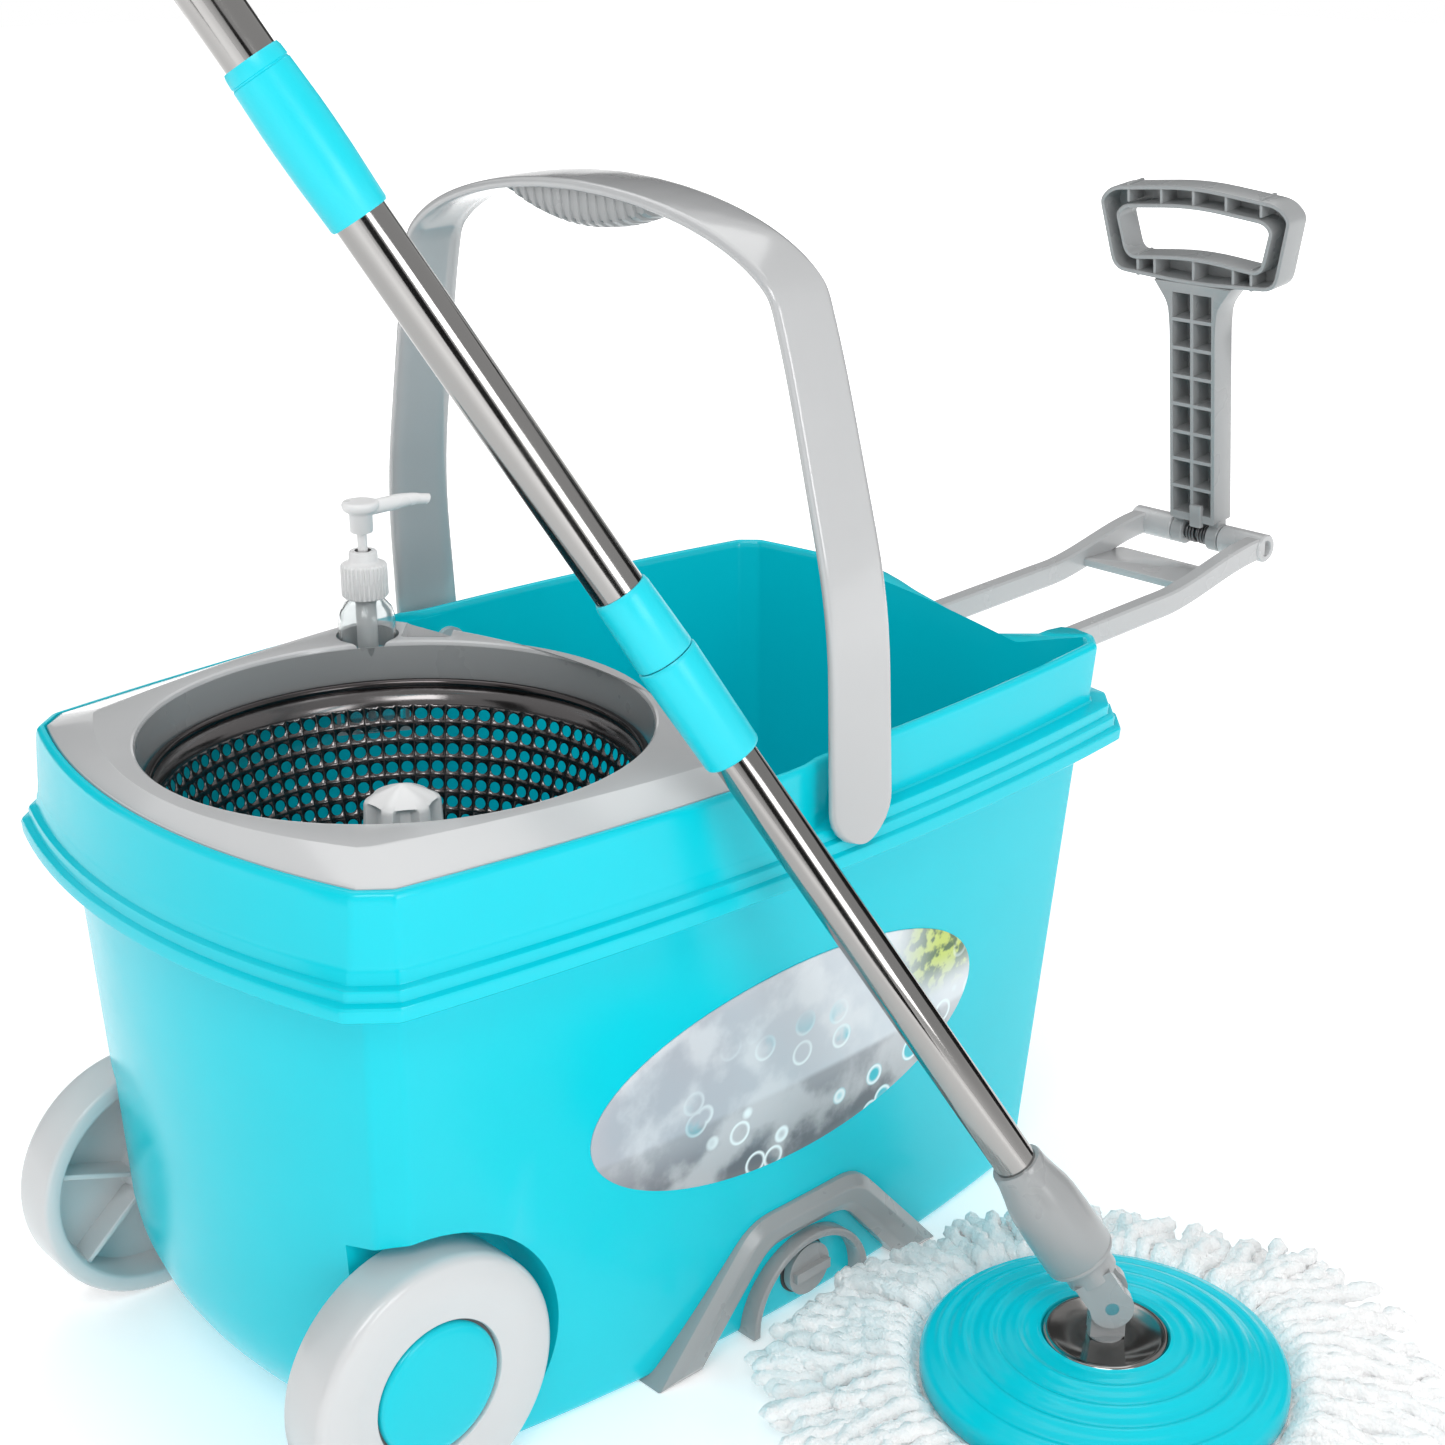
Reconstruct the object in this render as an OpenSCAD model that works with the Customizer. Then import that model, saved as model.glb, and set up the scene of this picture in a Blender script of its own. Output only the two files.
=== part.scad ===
// Spin mop set: a wheeled bucket with a wringer deck, a spin basket, a soap pump, a carrying bail
// and a folding pull handle, with a press-to-spin mop standing beside its long side.
// Frame: origin at the centre of the bucket's flat base on the floor, +X to the pull handle,
// -Y to the side where the mop stands, +Z up. Millimetres.

/* [Bucket] */
// Height of the bucket's rim
rim_h = 288; // [286:1:290]
// Wall thickness of the bucket
wall = 2.6; // [2.2:0.1:3]
// Half width of the base at its corners
base_w = 105; // [104:1:106]
// Outward bow of each long side
side_bow = 17; // [16:1:18]
// Depth of the pour spout in the rear rim
spout_dip = 21; // [12:1:24]

/* [Wheels] */
// Radius of the two wheels
wheel_r = 59; // [56:1:59]
// Width of a wheel
wheel_w = 27; // [26:1:28]
// Distance of the wheel axles ahead of the origin
axle_x = -195; // [-197:1:-193]

/* [Wringer] */
// Radius of the round opening in the deck
opening_r = 111; // [110:1:112]
// Distance of the opening's centre ahead of the origin
opening_x = -113; // [-115:1:-111]
// Height of the basket's floor
basket_floor = 184; // [178:1:190]

/* [Bail] */
// Height of the bail's pivots
bail_z = 268; // [267:1:269]
// Height of the bail's arch over its pivots
bail_h = 249; // [240:1:255]

/* [Pull handle] */
// Distance of the hinge between fork and handle behind the origin
hinge_x = 473; // [465:1:476]
// Length of the upright handle above its hinge
handle_len = 208; // [200:1:210]

/* [Mop] */
// Radius of the mop's round plate
plate_r = 80; // [78:1:82]
// Radius of the microfibre pad
pad_r = 165; // [150:1:168]
// Lean of the pole from the vertical
pole_lean = 32.8; // [31:0.1:33]
// Outer radius of the lower, inner tube of the pole
lower_r = 9.2; // [9:0.1:9.3]
// Outer radius of the upper tubes of the pole
upper_r = 10.4; // [10.4:0.1:10.8]
// Length of the top section with the grip
top_len = 285; // [260:5:330]

/* [Hidden] */
$fn = 72;

gap = 0.4;                              // clearance between pieces that move past each other
fit = 0.05;                             // radial clearance of a running fit

// Colours of the plastic and metal pieces
turquoise = [0.0, 0.85, 0.92];
light_grey = [0.82, 0.83, 0.83];
mid_grey = [0.66, 0.67, 0.67];
steel = [0.72, 0.73, 0.75];
clear_white = [0.92, 0.94, 0.95];

// Bucket levels
flange_z = 239;
ledge_z = 257;
shelf_z = rim_h - 4;                    // the deck's plate rests here
deck_top = rim_h + 7;
flange_out = 16;                        // how far each stretch of the band stands out
bead_out = 13;
ledge_out = 10;
front_out = 6;
rear_out = 2;
cavity_out = 0.8;                       // leaves the shelf under the deck's edge
base_round = 6;
corner_r = 13;
step_x = -4;                            // the band steps in behind the deck
spout_y = -50;                          // lowest place of the spout, off centre
side_face = 132;                        // outer face of the side trims

// Places of the pieces on the bucket
wheel_in = 98;                          // inner face of a wheel from the middle plane
axle_r = 4;
bail_x = 15;
bail_pin_r = 5;
bail_inner = 152;                       // inner faces of the bail's arms at their pivots
pivot_wall = 142.7;                     // just outside the bucket's wall at the pivots
deck_wall_z = 279;
bottle_x = -53;
bottle_y = 109;
drain_x = 14;
drain_z = 23;
drain_y = 116;                          // inner end of the drain's seal

// Points in each stretch of an outline
corner_steps = 5;
long_steps = 12;
end_steps = 6;

// Bucket body: half sizes of its corner rectangle at a level
function body_w(z) = base_w + 19 * z / 288 - tuck(z);
function body_front(z) = 203 + 9 * z / 288 - tuck(z) - belly(z);
function body_rear(z) = 198 + 18 * z / 288 - tuck(z);
function tuck(z) = z < base_round ? base_round - sqrt(base_round ^ 2 - (base_round - z) ^ 2) : 0;
function belly(z) = z < 60 ? 34 * (1 - z / 60) ^ 2 : 0;

// A rectangle with round corners, half sizes l and w, as points from its first corner
function corner_points(l, w, k, r) =
    let (sx = [1, -1, -1, 1][k], sy = [1, 1, -1, -1][k])
    [for (i = [0:corner_steps])
        let (a = 90 * k + 90 * i / corner_steps)
        [sx * (l - r) + r * cos(a), sy * (w - r) + r * sin(a)]];
function side_points(p, q, n) = [for (i = [1:n - 1]) p + (q - p) * i / n];
function rounded_rectangle(l, w, r) =
    let (c = [for (k = [0:3]) corner_points(l, w, k, r)])
    [for (k = [0:3])
        each concat(c[k], side_points(c[k][corner_steps], c[(k + 1) % 4][0],
            k % 2 == 0 ? long_steps : end_steps))];

// The same with its sides bowed outward
function bowed(p, l, w) =
    [p.x + sign(p.x) * (p.x < 0 ? 25 : 12) * (abs(p.x) / l) * (1 - (p.y / w) ^ 2),
     p.y + sign(p.y) * side_bow * (abs(p.y) / w) * (1 - (p.x / l) ^ 2)];
function bucket_outline(z, out) =
    let (front = body_front(z) + out, rear = body_rear(z) + out, w = body_w(z) + out,
         l = (front + rear) / 2, mid = (rear - front) / 2)
    [for (p = rounded_rectangle(l, w, corner_r + out / 2)) bowed(p, l, w) + [mid, 0]];

// The rear part of the rim is set in; front is how far it stands out ahead of the step
function rim_outline(z, front, rear) =
    let (a = bucket_outline(z, front), b = bucket_outline(z, rear))
    [for (i = [0:len(a) - 1]) let (t = clamp((a[i].x - step_x + 10) / 20)) a[i] * (1 - t) + b[i] * t];
function clamp(t) = min(1, max(0, t));

// Dip of the rear rim at the pour spout: long slope on the far side, short one on the near side
function dip(p) =
    let (u = p.y > spout_y ? (p.y - spout_y) / 100 : (spout_y - p.y) / 56)
    p.x > 150 && u < 1 ? spout_dip * (0.5 + 0.5 * cos(180 * u)) : 0;

function at_level(outline, z) = [for (p = outline) [p.x, p.y, z]];
function dipped(outline, z) = [for (p = outline) [p.x, p.y, z - dip(p)]];

// Solid through a stack of rings with the same number of points
module loft(rings) {
    n = len(rings[0]);
    m = len(rings);
    middle = [for (r = [rings[0], rings[m - 1]]) [0, 0, r[0].z]];
    points = [for (r = rings) each r];
    faces = [
        for (j = [0:m - 2], i = [0:n - 1])
            let (a = j * n + i, b = j * n + (i + 1) % n)
            each [[a, a + n, b], [b, a + n, b + n]],
        for (i = [0:n - 1]) [m * n, i, (i + 1) % n],
        for (i = [0:n - 1]) [m * n + 1, (m - 1) * n + (i + 1) % n, (m - 1) * n + i]];
    polyhedron(points = concat(points, middle), faces = faces, convexity = 8);
}

module bucket_solid() {
    loft(concat(
        [for (z = [0, 2, base_round, 16, 30, 60, 120, 180, flange_z - 1])
            at_level(bucket_outline(z, 0), z)],
        [at_level(bucket_outline(flange_z, flange_out), flange_z),
         at_level(bucket_outline(246, flange_out), 246),
         at_level(bucket_outline(247, bead_out), 247),
         at_level(bucket_outline(251, bead_out), 251),
         at_level(bucket_outline(252, ledge_out), 252),
         at_level(bucket_outline(ledge_z, ledge_out), ledge_z),
         at_level(rim_outline(ledge_z + 2, front_out + 1, rear_out), ledge_z + 2),
         dipped(rim_outline(rim_h - 2, front_out, rear_out), rim_h - 2),
         dipped(rim_outline(rim_h, front_out - 1, rear_out - 1), rim_h)]));
}

module bucket_cavity() {
    loft(concat(
        [for (z = [4, 10, 30, 60, 120, 180, 238]) at_level(bucket_outline(z, -wall), z)],
        [for (z = [244, ledge_z, rim_h + 20]) at_level(rim_outline(z, cavity_out, rear_out - wall), z)]));
}

// Wheel wells at both front corners; shrink leaves their walls
module wheel_wells(shrink) {
    for (s = [-1, 1]) {
        translate([axle_x, s * (wheel_in - 6 - shrink), wheel_r])
            rotate([-90 * s, 0, 0])
                cylinder(r = wheel_r + 7 + shrink, h = 90);
        translate([axle_x - 80 + shrink, s > 0 ? wheel_in - 6 - shrink : -wheel_in - 84 + shrink, -1])
            cube([80, 90, wheel_r]);
    }
}

module near_and_far() {
    children();
    mirror([0, 1, 0]) children();
}

// Plan of the deck: the rim's front outline, closed by a shallow arc behind the opening
deck_arc = 282;
deck_rear = 5;
module deck_plan(inset) {
    intersection() {
        polygon(bucket_outline(rim_h, front_out - 4 - inset));
        translate([deck_rear - deck_arc, 0]) circle(r = deck_arc - inset, $fn = 180);
    }
}

// Flat top of the deck inside its bevel, which is widest at the corners
flat_l = 202;
flat_w = 102;
flat_bow_x = 31;
flat_bow_y = 28;
function flat_point(p) =
    [p.x + sign(p.x) * flat_bow_x * (abs(p.x) / flat_l) * (1 - (p.y / flat_w) ^ 2),
     p.y + sign(p.y) * flat_bow_y * (abs(p.y) / flat_w) * (1 - (p.x / flat_l) ^ 2)];
module deck_flat(inset) {
    intersection() {
        polygon([for (p = rounded_rectangle(flat_l, flat_w, 4)) flat_point(p) * (1 - inset / flat_l)]);
        translate([deck_rear - deck_arc, 0]) circle(r = deck_arc - 10 - inset, $fn = 180);
    }
}

module bucket_shell() {
    color(turquoise) {
        difference() {
            bucket_solid();
            difference() {
                bucket_cavity();
                wheel_wells(wall);
            }
            wheel_wells(0);
            translate([0, 0, shelf_z]) linear_extrude(20) deck_plan(-0.8);
            translate([drain_x, -60, drain_z]) rotate([90, 0, 0]) cylinder(r = 14, h = 100);
            bail_pin_bores();
            near_and_far() axle_bore();
        }
        near_and_far() axle_boss();
    }
}

module axle_bore() {
    translate([axle_x, wheel_in - 26, wheel_r]) rotate([-90, 0, 0]) cylinder(r = axle_r, h = 40);
}
module axle_boss() {
    difference() {
        translate([axle_x, 0, wheel_r]) rotate([-90, 0, 0]) {
            translate([0, 0, wheel_in - 30]) cylinder(r = 11, h = 31.6);
            translate([0, 0, wheel_in - 12]) cylinder(r = 18, h = 6);
        }
        axle_bore();
    }
}

module bail_pin_bores() {
    for (s = [-1, 1])
        translate([bail_x, s * 100, bail_z]) rotate([-90 * s, 0, 0]) cylinder(r = bail_pin_r, h = 60);
}

module bail_pins() {
    color(light_grey) near_and_far() translate([bail_x, 0, bail_z]) rotate([-90, 0, 0]) {
        translate([0, 0, pivot_wall - 6]) cylinder(r = bail_pin_r, h = bail_inner + 8.8 - pivot_wall);
        translate([0, 0, pivot_wall - 7.8]) cylinder(r = 9, h = 3);
        translate([0, 0, pivot_wall]) cylinder(r = 8, h = bail_inner - gap - pivot_wall);
    }
}

// Deck: bevelled cover with a round wall, a hole for the bottle and a finger notch
module wringer_deck() {
    color(light_grey) difference() {
        union() {
            difference() {
                hull() {
                    translate([0, 0, shelf_z]) linear_extrude(4) deck_plan(0);
                    translate([0, 0, deck_top - 0.4]) linear_extrude(0.4) deck_flat(0);
                }
                hull() {
                    translate([0, 0, shelf_z - 1]) linear_extrude(2.6) deck_plan(8);
                    translate([0, 0, deck_top - 3.2]) linear_extrude(0.4) deck_flat(3);
                }
            }
            translate([opening_x, 0, deck_wall_z]) cylinder(r = opening_r + 2.4, h = 15);
            intersection() {
                translate([bottle_x, bottle_y, shelf_z]) cylinder(r = 18, h = 9);
                translate([0, 0, shelf_z - 1]) linear_extrude(12) deck_plan(0.5);
            }
        }
        translate([opening_x, 0, deck_wall_z - 1]) cylinder(r = opening_r, h = 40);
        translate([bottle_x, bottle_y, shelf_z - 10]) cylinder(r = 15, h = 30);
        translate([-27, 95, deck_top - 8]) rotate([0, 0, -44]) cube([24, 24, 30], center = true);
    }
}

// Grey arches low on both long sides
module side_trims() {
    color(mid_grey) near_and_far() difference() {
        translate([0, side_face, 0]) rotate([90, 0, 0]) linear_extrude(24) difference() {
            polygon([[-80, 0], [-22, 63], [47, 63], [104, 0]]);
            polygon([[-54, -1], [-12, 46], [38, 46], [78, -1]]);
        }
        low_wall();
    }
}

// The bucket's lower wall as a solid, to shape what is fixed to it
module low_wall() {
    loft([for (z = [-1, 2, base_round, 16, 30, 60, 120]) at_level(bucket_outline(max(z, 0), 0.1), z)]);
}

module drain_shroud() {
    color(mid_grey) difference() {
        translate([drain_x, -side_face, 5]) rotate([-90, 0, 0]) cylinder(r = 38, h = 20);
        translate([drain_x, -side_face - 1, 5]) rotate([-90, 0, 0]) cylinder(r = 34, h = 22);
        translate([drain_x - 50, -side_face - 6, -50]) cube([100, 40, 52]);
        low_wall();
    }
}

// Drain: a seal in the wall and a quarter-turn cap with a grip bar
module drain_seal() {
    color("dimgray") translate([drain_x, -drain_y, drain_z]) rotate([90, 0, 0]) difference() {
        cylinder(r = 14, h = 8);
        translate([0, 0, -1]) cylinder(r = 11.5 + fit, h = 10);
    }
}

module drain_cap() {
    color(mid_grey) translate([drain_x, 0, drain_z]) rotate([90, 0, 0]) {
        translate([0, 0, drain_y - 2]) cylinder(r = 11.5, h = 12);
        translate([0, 0, drain_y + 9]) cylinder(r = 13, h = 4);
        translate([-11, -2.5, drain_y + 12]) cube([22, 5, 4]);
    }
}

// Oval picture label on the near side, curved with the wall
label_x = 5;
label_z = 140;
module side_label() {
    color("white") intersection() {
        difference() {
            label_wall(0.8);
            label_wall(0.03);
        }
        translate([label_x, -100, label_z]) rotate([90, 0, 0])
            linear_extrude(60) scale([1.2, 0.5]) circle(r = 100, $fn = 96);
    }
}
module label_wall(out) {
    loft([for (z = [60, 120, 180, flange_z - 1]) at_level(bucket_outline(z, out), z)]);
}

// Spindle: a hollow post on the bucket's floor with a steel pin that carries the basket
post_top = 166;
module spindle_post() {
    color(turquoise) translate([opening_x, 0, 4]) rotate_extrude() polygon([
        [spindle_r, post_top - 34], [spindle_r, post_top - 4], [12, post_top - 4], [14, post_top - 6],
        [18, 40], [44, 4], [48, 0], [44.5, 0], [15, 38], [12, post_top - 38]]);
}

spindle_r = 5;
module spindle_pin() {
    color(steel) translate([opening_x, 0, 0]) {
        translate([0, 0, post_top - 30]) cylinder(r = spindle_r, h = 108);
        translate([0, 0, post_top + 78]) sphere(r = spindle_r);
    }
}

module thrust_washer() {
    color(clear_white) translate([opening_x, 0, post_top]) difference() {
        cylinder(r = 12, h = 1.6);
        translate([0, 0, -1]) cylinder(r = spindle_r, h = 4);
    }
}

module stub_axles() {
    color(steel) near_and_far() translate([axle_x, wheel_in - 26, wheel_r]) rotate([-90, 0, 0])
        cylinder(r = axle_r, h = 49.4);
}

module axle_clips() {
    color(steel) near_and_far() translate([axle_x, wheel_in + 22.4, wheel_r]) rotate([-90, 0, 0]) difference() {
        cylinder(r = 7.5, h = 0.8);
        translate([0, 0, -1]) cylinder(r = axle_r, h = 3);
    }
}

// Basket: a thin steel cone with a rolled rim; the many small holes are surface detail
basket_rim_z = 275;
module basket() {
    color(steel) translate([opening_x, 0, 0]) difference() {
        union() {
            rotate_extrude() polygon([
                [17, basket_floor], [82, basket_floor], [86, basket_floor + 5],
                [106.6, basket_rim_z], [105.6, basket_rim_z], [85, basket_floor + 6],
                [81.5, basket_floor + 1.2], [17, basket_floor + 1.2]]);
            translate([0, 0, basket_rim_z]) rotate_extrude() translate([107.5, 0]) circle(r = 2.2, $fn = 24);
        }
        for (k = [0:11])
            rotate([0, 0, 30 * k]) translate([60, 0, basket_floor - 3]) cylinder(r = 5, h = 12);
    }
}

hub_top = 266;
module basket_hub() {
    color(clear_white) translate([opening_x, 0, 0]) difference() {
        union() {
            translate([0, 0, basket_floor + 1.2]) cylinder(r = 32, h = 4);
            translate([0, 0, basket_floor + 5]) cylinder(r1 = 19, r2 = 13.8, h = 30);
            translate([0, 0, basket_floor + 1.2]) cylinder(r = 14, h = hub_top - basket_floor - 1.2, $fn = 8);
            translate([0, 0, post_top + 2]) cylinder(r = 16.6, h = 20);
        }
        translate([0, 0, post_top]) cylinder(r = 8, h = 90);
        for (k = [0:2])
            rotate([0, 0, 60 * k]) translate([-20, -3.5, hub_top - 12]) cube([40, 7, 20]);
        for (k = [0:2])
            rotate([0, 0, 120 * k]) translate([26, 0, basket_floor]) cylinder(r = 2.1, h = 10);
    }
}

module hub_bushing() {
    color("tan") translate([opening_x, 0, post_top + 2]) difference() {
        cylinder(r = 8, h = 74);
        translate([0, 0, -1]) cylinder(r = spindle_r + fit, h = 78);
    }
}

module hub_rivets() {
    color(steel) translate([opening_x, 0, 0]) for (k = [0:2])
        rotate([0, 0, 120 * k]) translate([26, 0, 0]) {
            translate([0, 0, basket_floor + 1.2]) cylinder(r = 2.1, h = 5);
            translate([0, 0, basket_floor + 5.2]) cylinder(r1 = 4, r2 = 3, h = 1.4);
        }
}

// Wheel: a hollow ring with a web, a hub and ribs on its inner side
cap_r = 29.5;
module wheel() {
    color(light_grey) translate([axle_x, wheel_in, wheel_r]) rotate([-90, 0, 0]) {
        rotate_extrude() polygon(concat(
            [[axle_r + fit, 2], [10, 2], [12, 17], [48, 17], [50, 0], [wheel_r - 1, 0], [wheel_r, 1],
             [wheel_r, wheel_w - 4]],
            [for (a = [15:15:90]) [wheel_r - 4 + 4 * cos(a), wheel_w - 4 + 4 * sin(a)]],
            [[cap_r + 0.3, wheel_w], [cap_r + 0.3, 22], [axle_r + fit, 22]]));
        for (k = [0:5])
            rotate([0, 0, 60 * k + 20]) translate([8, -1.2, 5]) cube([42, 2.4, 13]);
    }
}
module wheel_near() mirror([0, 1, 0]) wheel();
module wheel_far() wheel();

module wheel_cap() {
    color(turquoise) translate([axle_x, wheel_in, wheel_r]) rotate([-90, 0, 0]) rotate_extrude()
        polygon([[0, 24.4], [26, 24.4], [26, 22], [cap_r, 22], [cap_r, 26.2], [28, 27], [0, 27.6]]);
}
module cap_near() mirror([0, 1, 0]) wheel_cap();
module cap_far() wheel_cap();

// Bail: two straps that lean in to a flat arch, drawn in a plane and leaned a little forward
bail_lean = -2.3;
bail_w = 37;
bail_t = 5;
arm_h = 85;
bend_h = 205;
bend_y = 125;
function arch_point(a) = [bend_y * cos(a), bend_h + (bail_h - bend_h) * sin(a)];
function bail_half(out) = concat(
    [[bail_inner + out, -bail_w / 2], [bail_inner + out, arm_h], [bend_y + 4 + out, bend_h - 22]],
    [for (a = [15:15:90])
        let (p = arch_point(a)) [p[0] + out * cos(a), p[1] - bail_t + out * sin(a)]]);
module bail_outline() {
    difference() {
        bail_fill(bail_t);
        bail_fill(0);
    }
}
module bail_fill(out) {
    half = bail_half(out);
    n = len(half) - 1;
    polygon(concat(half, [for (i = [n - 1:-1:0]) [-half[i][0], half[i][1]]]));
}
module bail_frame() {
    translate([bail_x, 0, bail_z]) rotate([0, bail_lean, 0]) children();
}
module bail_handle() {
    color(light_grey) bail_frame() intersection() {
        difference() {
            translate([-bail_w / 2, 0, 0]) rotate([90, 0, 90]) linear_extrude(bail_w) bail_outline();
            rotate([-90, 0, 0]) cylinder(r = bail_pin_r + 0.1, h = 2 * (bail_inner + 3.2), center = true);
        }
        bail_side();
    }
}
// Side view of the bail: round ends at the pivots and a slight taper to the arch
module bail_side() {
    translate([0, 200, 0]) rotate([90, 0, 0]) linear_extrude(400) {
        circle(r = bail_w / 2);
        polygon([[-bail_w / 2, 0], [bail_w / 2, 0], [16, bend_h], [16, bail_h + 20],
            [-16, bail_h + 20], [-16, bend_h]]);
    }
}

// Ribbed crescent under the arch
module bail_grip() {
    color(mid_grey) bail_frame() {
        intersection() {
            translate([-13, 0, 0]) rotate([90, 0, 90]) linear_extrude(26) grip_crescent(0);
            translate([-20, -60, 0]) cube([40, 120, 400]);
        }
        for (k = [-8:8])
            translate([-13.6, 6 * k - 1, 0]) intersection() {
                translate([0, 0, bail_h - 26]) cube([27.2, 2, 20]);
                translate([-10, -6 * k + 1, 0]) rotate([90, 0, 90]) linear_extrude(60) grip_crescent(1);
            }
    }
}
module grip_crescent(out) {
    intersection() {
        translate([0, bail_h + 96]) circle(r = 117 + out, $fn = 96);
        bail_fill(-0.05);
        translate([-54, bail_h - 40]) square([108, 50]);
    }
}

// Pull handle: a fork on brackets at the rear wall and an upright handle hinged to its end
fork_x = 254;
fork_z = 246;
hinge_z = 266.5;
arm_y = 36;
arm_w = 10;
fork_pin_r = 3;
barrel_r = 8.3;
barrel_end = 46;
barrel_in = 17;

module fork_brackets() {
    color(turquoise) near_and_far() for (y = [29, 47.2]) difference() {
        translate([0, y + 5.8, 0]) rotate([90, 0, 0]) linear_extrude(5.8) hull() {
            translate([fork_x, fork_z]) circle(r = 7.5);
            translate([230, 242]) square([12, 12]);
        }
        translate([fork_x, y - 1, fork_z]) rotate([-90, 0, 0]) cylinder(r = fork_pin_r, h = 10);
        loft([for (z = [230, 244, 246, 247, 251, 252, 262])
            at_level(bucket_outline(z, z < 246.5 ? flange_out : z < 251.5 ? bead_out : ledge_out), z)]);
    }
}

module fork_pins() {
    color(steel) near_and_far() translate([fork_x, 29, fork_z]) rotate([-90, 0, 0]) {
        cylinder(r = fork_pin_r, h = 24);
        translate([0, 0, 24]) cylinder(r = 5, h = 2);
    }
}

// Side view of one fork arm: level, with an S-bend up to its barrel
function fork_centre(t) = [fork_x + (hinge_x - fork_x) * t,
    fork_z + (hinge_z - fork_z) * (t < 0.55 ? 0.25 * t / 0.55 : 0.25 + 0.75 * smooth((t - 0.55) / 0.45))];
function smooth(t) = t * t * (3 - 2 * t);
module fork_side() {
    polygon(concat(
        [for (k = [0:10]) fork_centre(k / 10) + [0, 6.5]],
        [for (k = [10:-1:0]) fork_centre(k / 10) - [0, 6.5]]));
    translate([fork_x, fork_z]) circle(r = 7.5);
    translate([hinge_x, hinge_z]) circle(r = barrel_r);
}
module pull_fork() {
    color(light_grey) difference() {
        union() {
            near_and_far() translate([0, arm_y + arm_w, 0]) rotate([90, 0, 0])
                linear_extrude(arm_w) fork_side();
            near_and_far() translate([hinge_x, barrel_in, hinge_z]) rotate([-90, 0, 0])
                cylinder(r = barrel_r, h = barrel_end - barrel_in);
            translate([408, -arm_y - 1, 251]) cube([38, 2 * arm_y + 2, 5]);
        }
        for (s = [-1, 1])
            translate([fork_x, s * 20, fork_z]) rotate([-90 * s, 0, 0])
                cylinder(r = fork_pin_r + fit, h = 40);
        translate([hinge_x, -60, hinge_z]) rotate([-90, 0, 0]) cylinder(r = hinge_pin_r, h = 120);
    }
}

hinge_pin_r = 4;
module hinge_pin() {
    color(steel) translate([hinge_x, 5 - barrel_end, hinge_z]) rotate([-90, 0, 0])
        cylinder(r = hinge_pin_r, h = 2 * (barrel_end - 5));
}

// Upright handle, drawn upright above its hinge and leaned toward the bucket
handle_lean = 6.9;
stem_w = 32;
stem_t = 17;
module handle_frame() {
    translate([hinge_x, 0, hinge_z]) rotate([0, -handle_lean, 0]) children();
}
module t_handle() {
    color(mid_grey) handle_frame() difference() {
        union() {
            stem();
            grip_loop();
            for (y = [-16.6, 8.6]) translate([0, y, 0]) rotate([-90, 0, 0]) cylinder(r = barrel_r, h = 8);
        }
        translate([0, -20, 0]) rotate([-90, 0, 0]) cylinder(r = hinge_pin_r + fit, h = 40);
    }
}
rib_t = 2.4;
stem_low = 10;
loop_low = handle_len - 55;
module stem() {
    difference() {
        translate([-stem_t / 2, -stem_w / 2, stem_low]) cube([stem_t, stem_w, loop_low - stem_low + 2]);
        for (s = [-1, 1], k = [0:7])
            translate([-stem_t / 2 - 1, s * 7.2 - 5.8, stem_low + 6 + 16.6 * k])
                cube([stem_t - 2, 11.6, 14.2]);
    }
    for (y = [-16, 9]) translate([-4, y, 0]) cube([8, 7, stem_low + 2]);
}
module grip_loop() {
    translate([stem_t / 2, 0, loop_low]) rotate([90, 0, -90]) linear_extrude(stem_t) difference() {
        polygon([[-56, 4], [-48, 0], [48, 0], [56, 4], [65, 47], [57, 55], [-57, 55], [-65, 47]]);
        polygon([[-45, 14], [45, 14], [52, 42], [-52, 42]]);
    }
}

// Pair of torsion springs on the hinge pin between the handle's two lugs
module handle_springs() {
    color("dimgray") translate([hinge_x, -7.35, hinge_z]) rotate([-90, 0, 0]) for (k = [0:7])
        translate([0, 0, 2.1 * k]) rotate_extrude() translate([5.3, 0]) circle(r = 0.9, $fn = 16);
}

// Soap pump in its hole in the deck
bottle_r = 13.7;
bottle_low = 249;
bottle_high = 313;
module in_bottle() {
    translate([bottle_x, bottle_y, 0]) children();
}
module bottle_cradle() {
    color(light_grey) in_bottle() rotate([0, 0, -29]) {
        translate([-17.6, -6, 246.4]) cube([35.2, 12, 2]);
        for (s = [-1, 1]) translate([s * 16.6 - 1, -6, 246.4]) cube([2, 12, shelf_z - 246.4]);
    }
}
module soap_bottle() {
    color(clear_white, 0.5) in_bottle() rotate_extrude() polygon([
        [0, bottle_low], [bottle_r - 1.5, bottle_low], [bottle_r, bottle_low + 1.5],
        [bottle_r, 304], [12.6, 309], [8, bottle_high], [8, 318], [6.8, 318], [6.8, bottle_high - 1],
        [11.6, 308], [bottle_r - 1.1, 303], [bottle_r - 1.1, bottle_low + 2],
        [bottle_r - 2.2, bottle_low + 1.1], [0, bottle_low + 1.1]]);
}
module bottle_closure() {
    color("white") in_bottle() difference() {
        union() {
            translate([0, 0, bottle_high + 1]) cylinder(r = 10.6, h = 18);
            translate([0, 0, 331]) cylinder(r = 6.5, h = 6);
            for (k = [0:23]) rotate([0, 0, 15 * k]) translate([10.4, -0.5, bottle_high + 2]) cube([0.7, 1, 15]);
        }
        translate([0, 0, bottle_high]) cylinder(r = 8, h = 15);
        translate([0, 0, bottle_high]) cylinder(r = 3.2, h = 40);
    }
}
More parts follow.
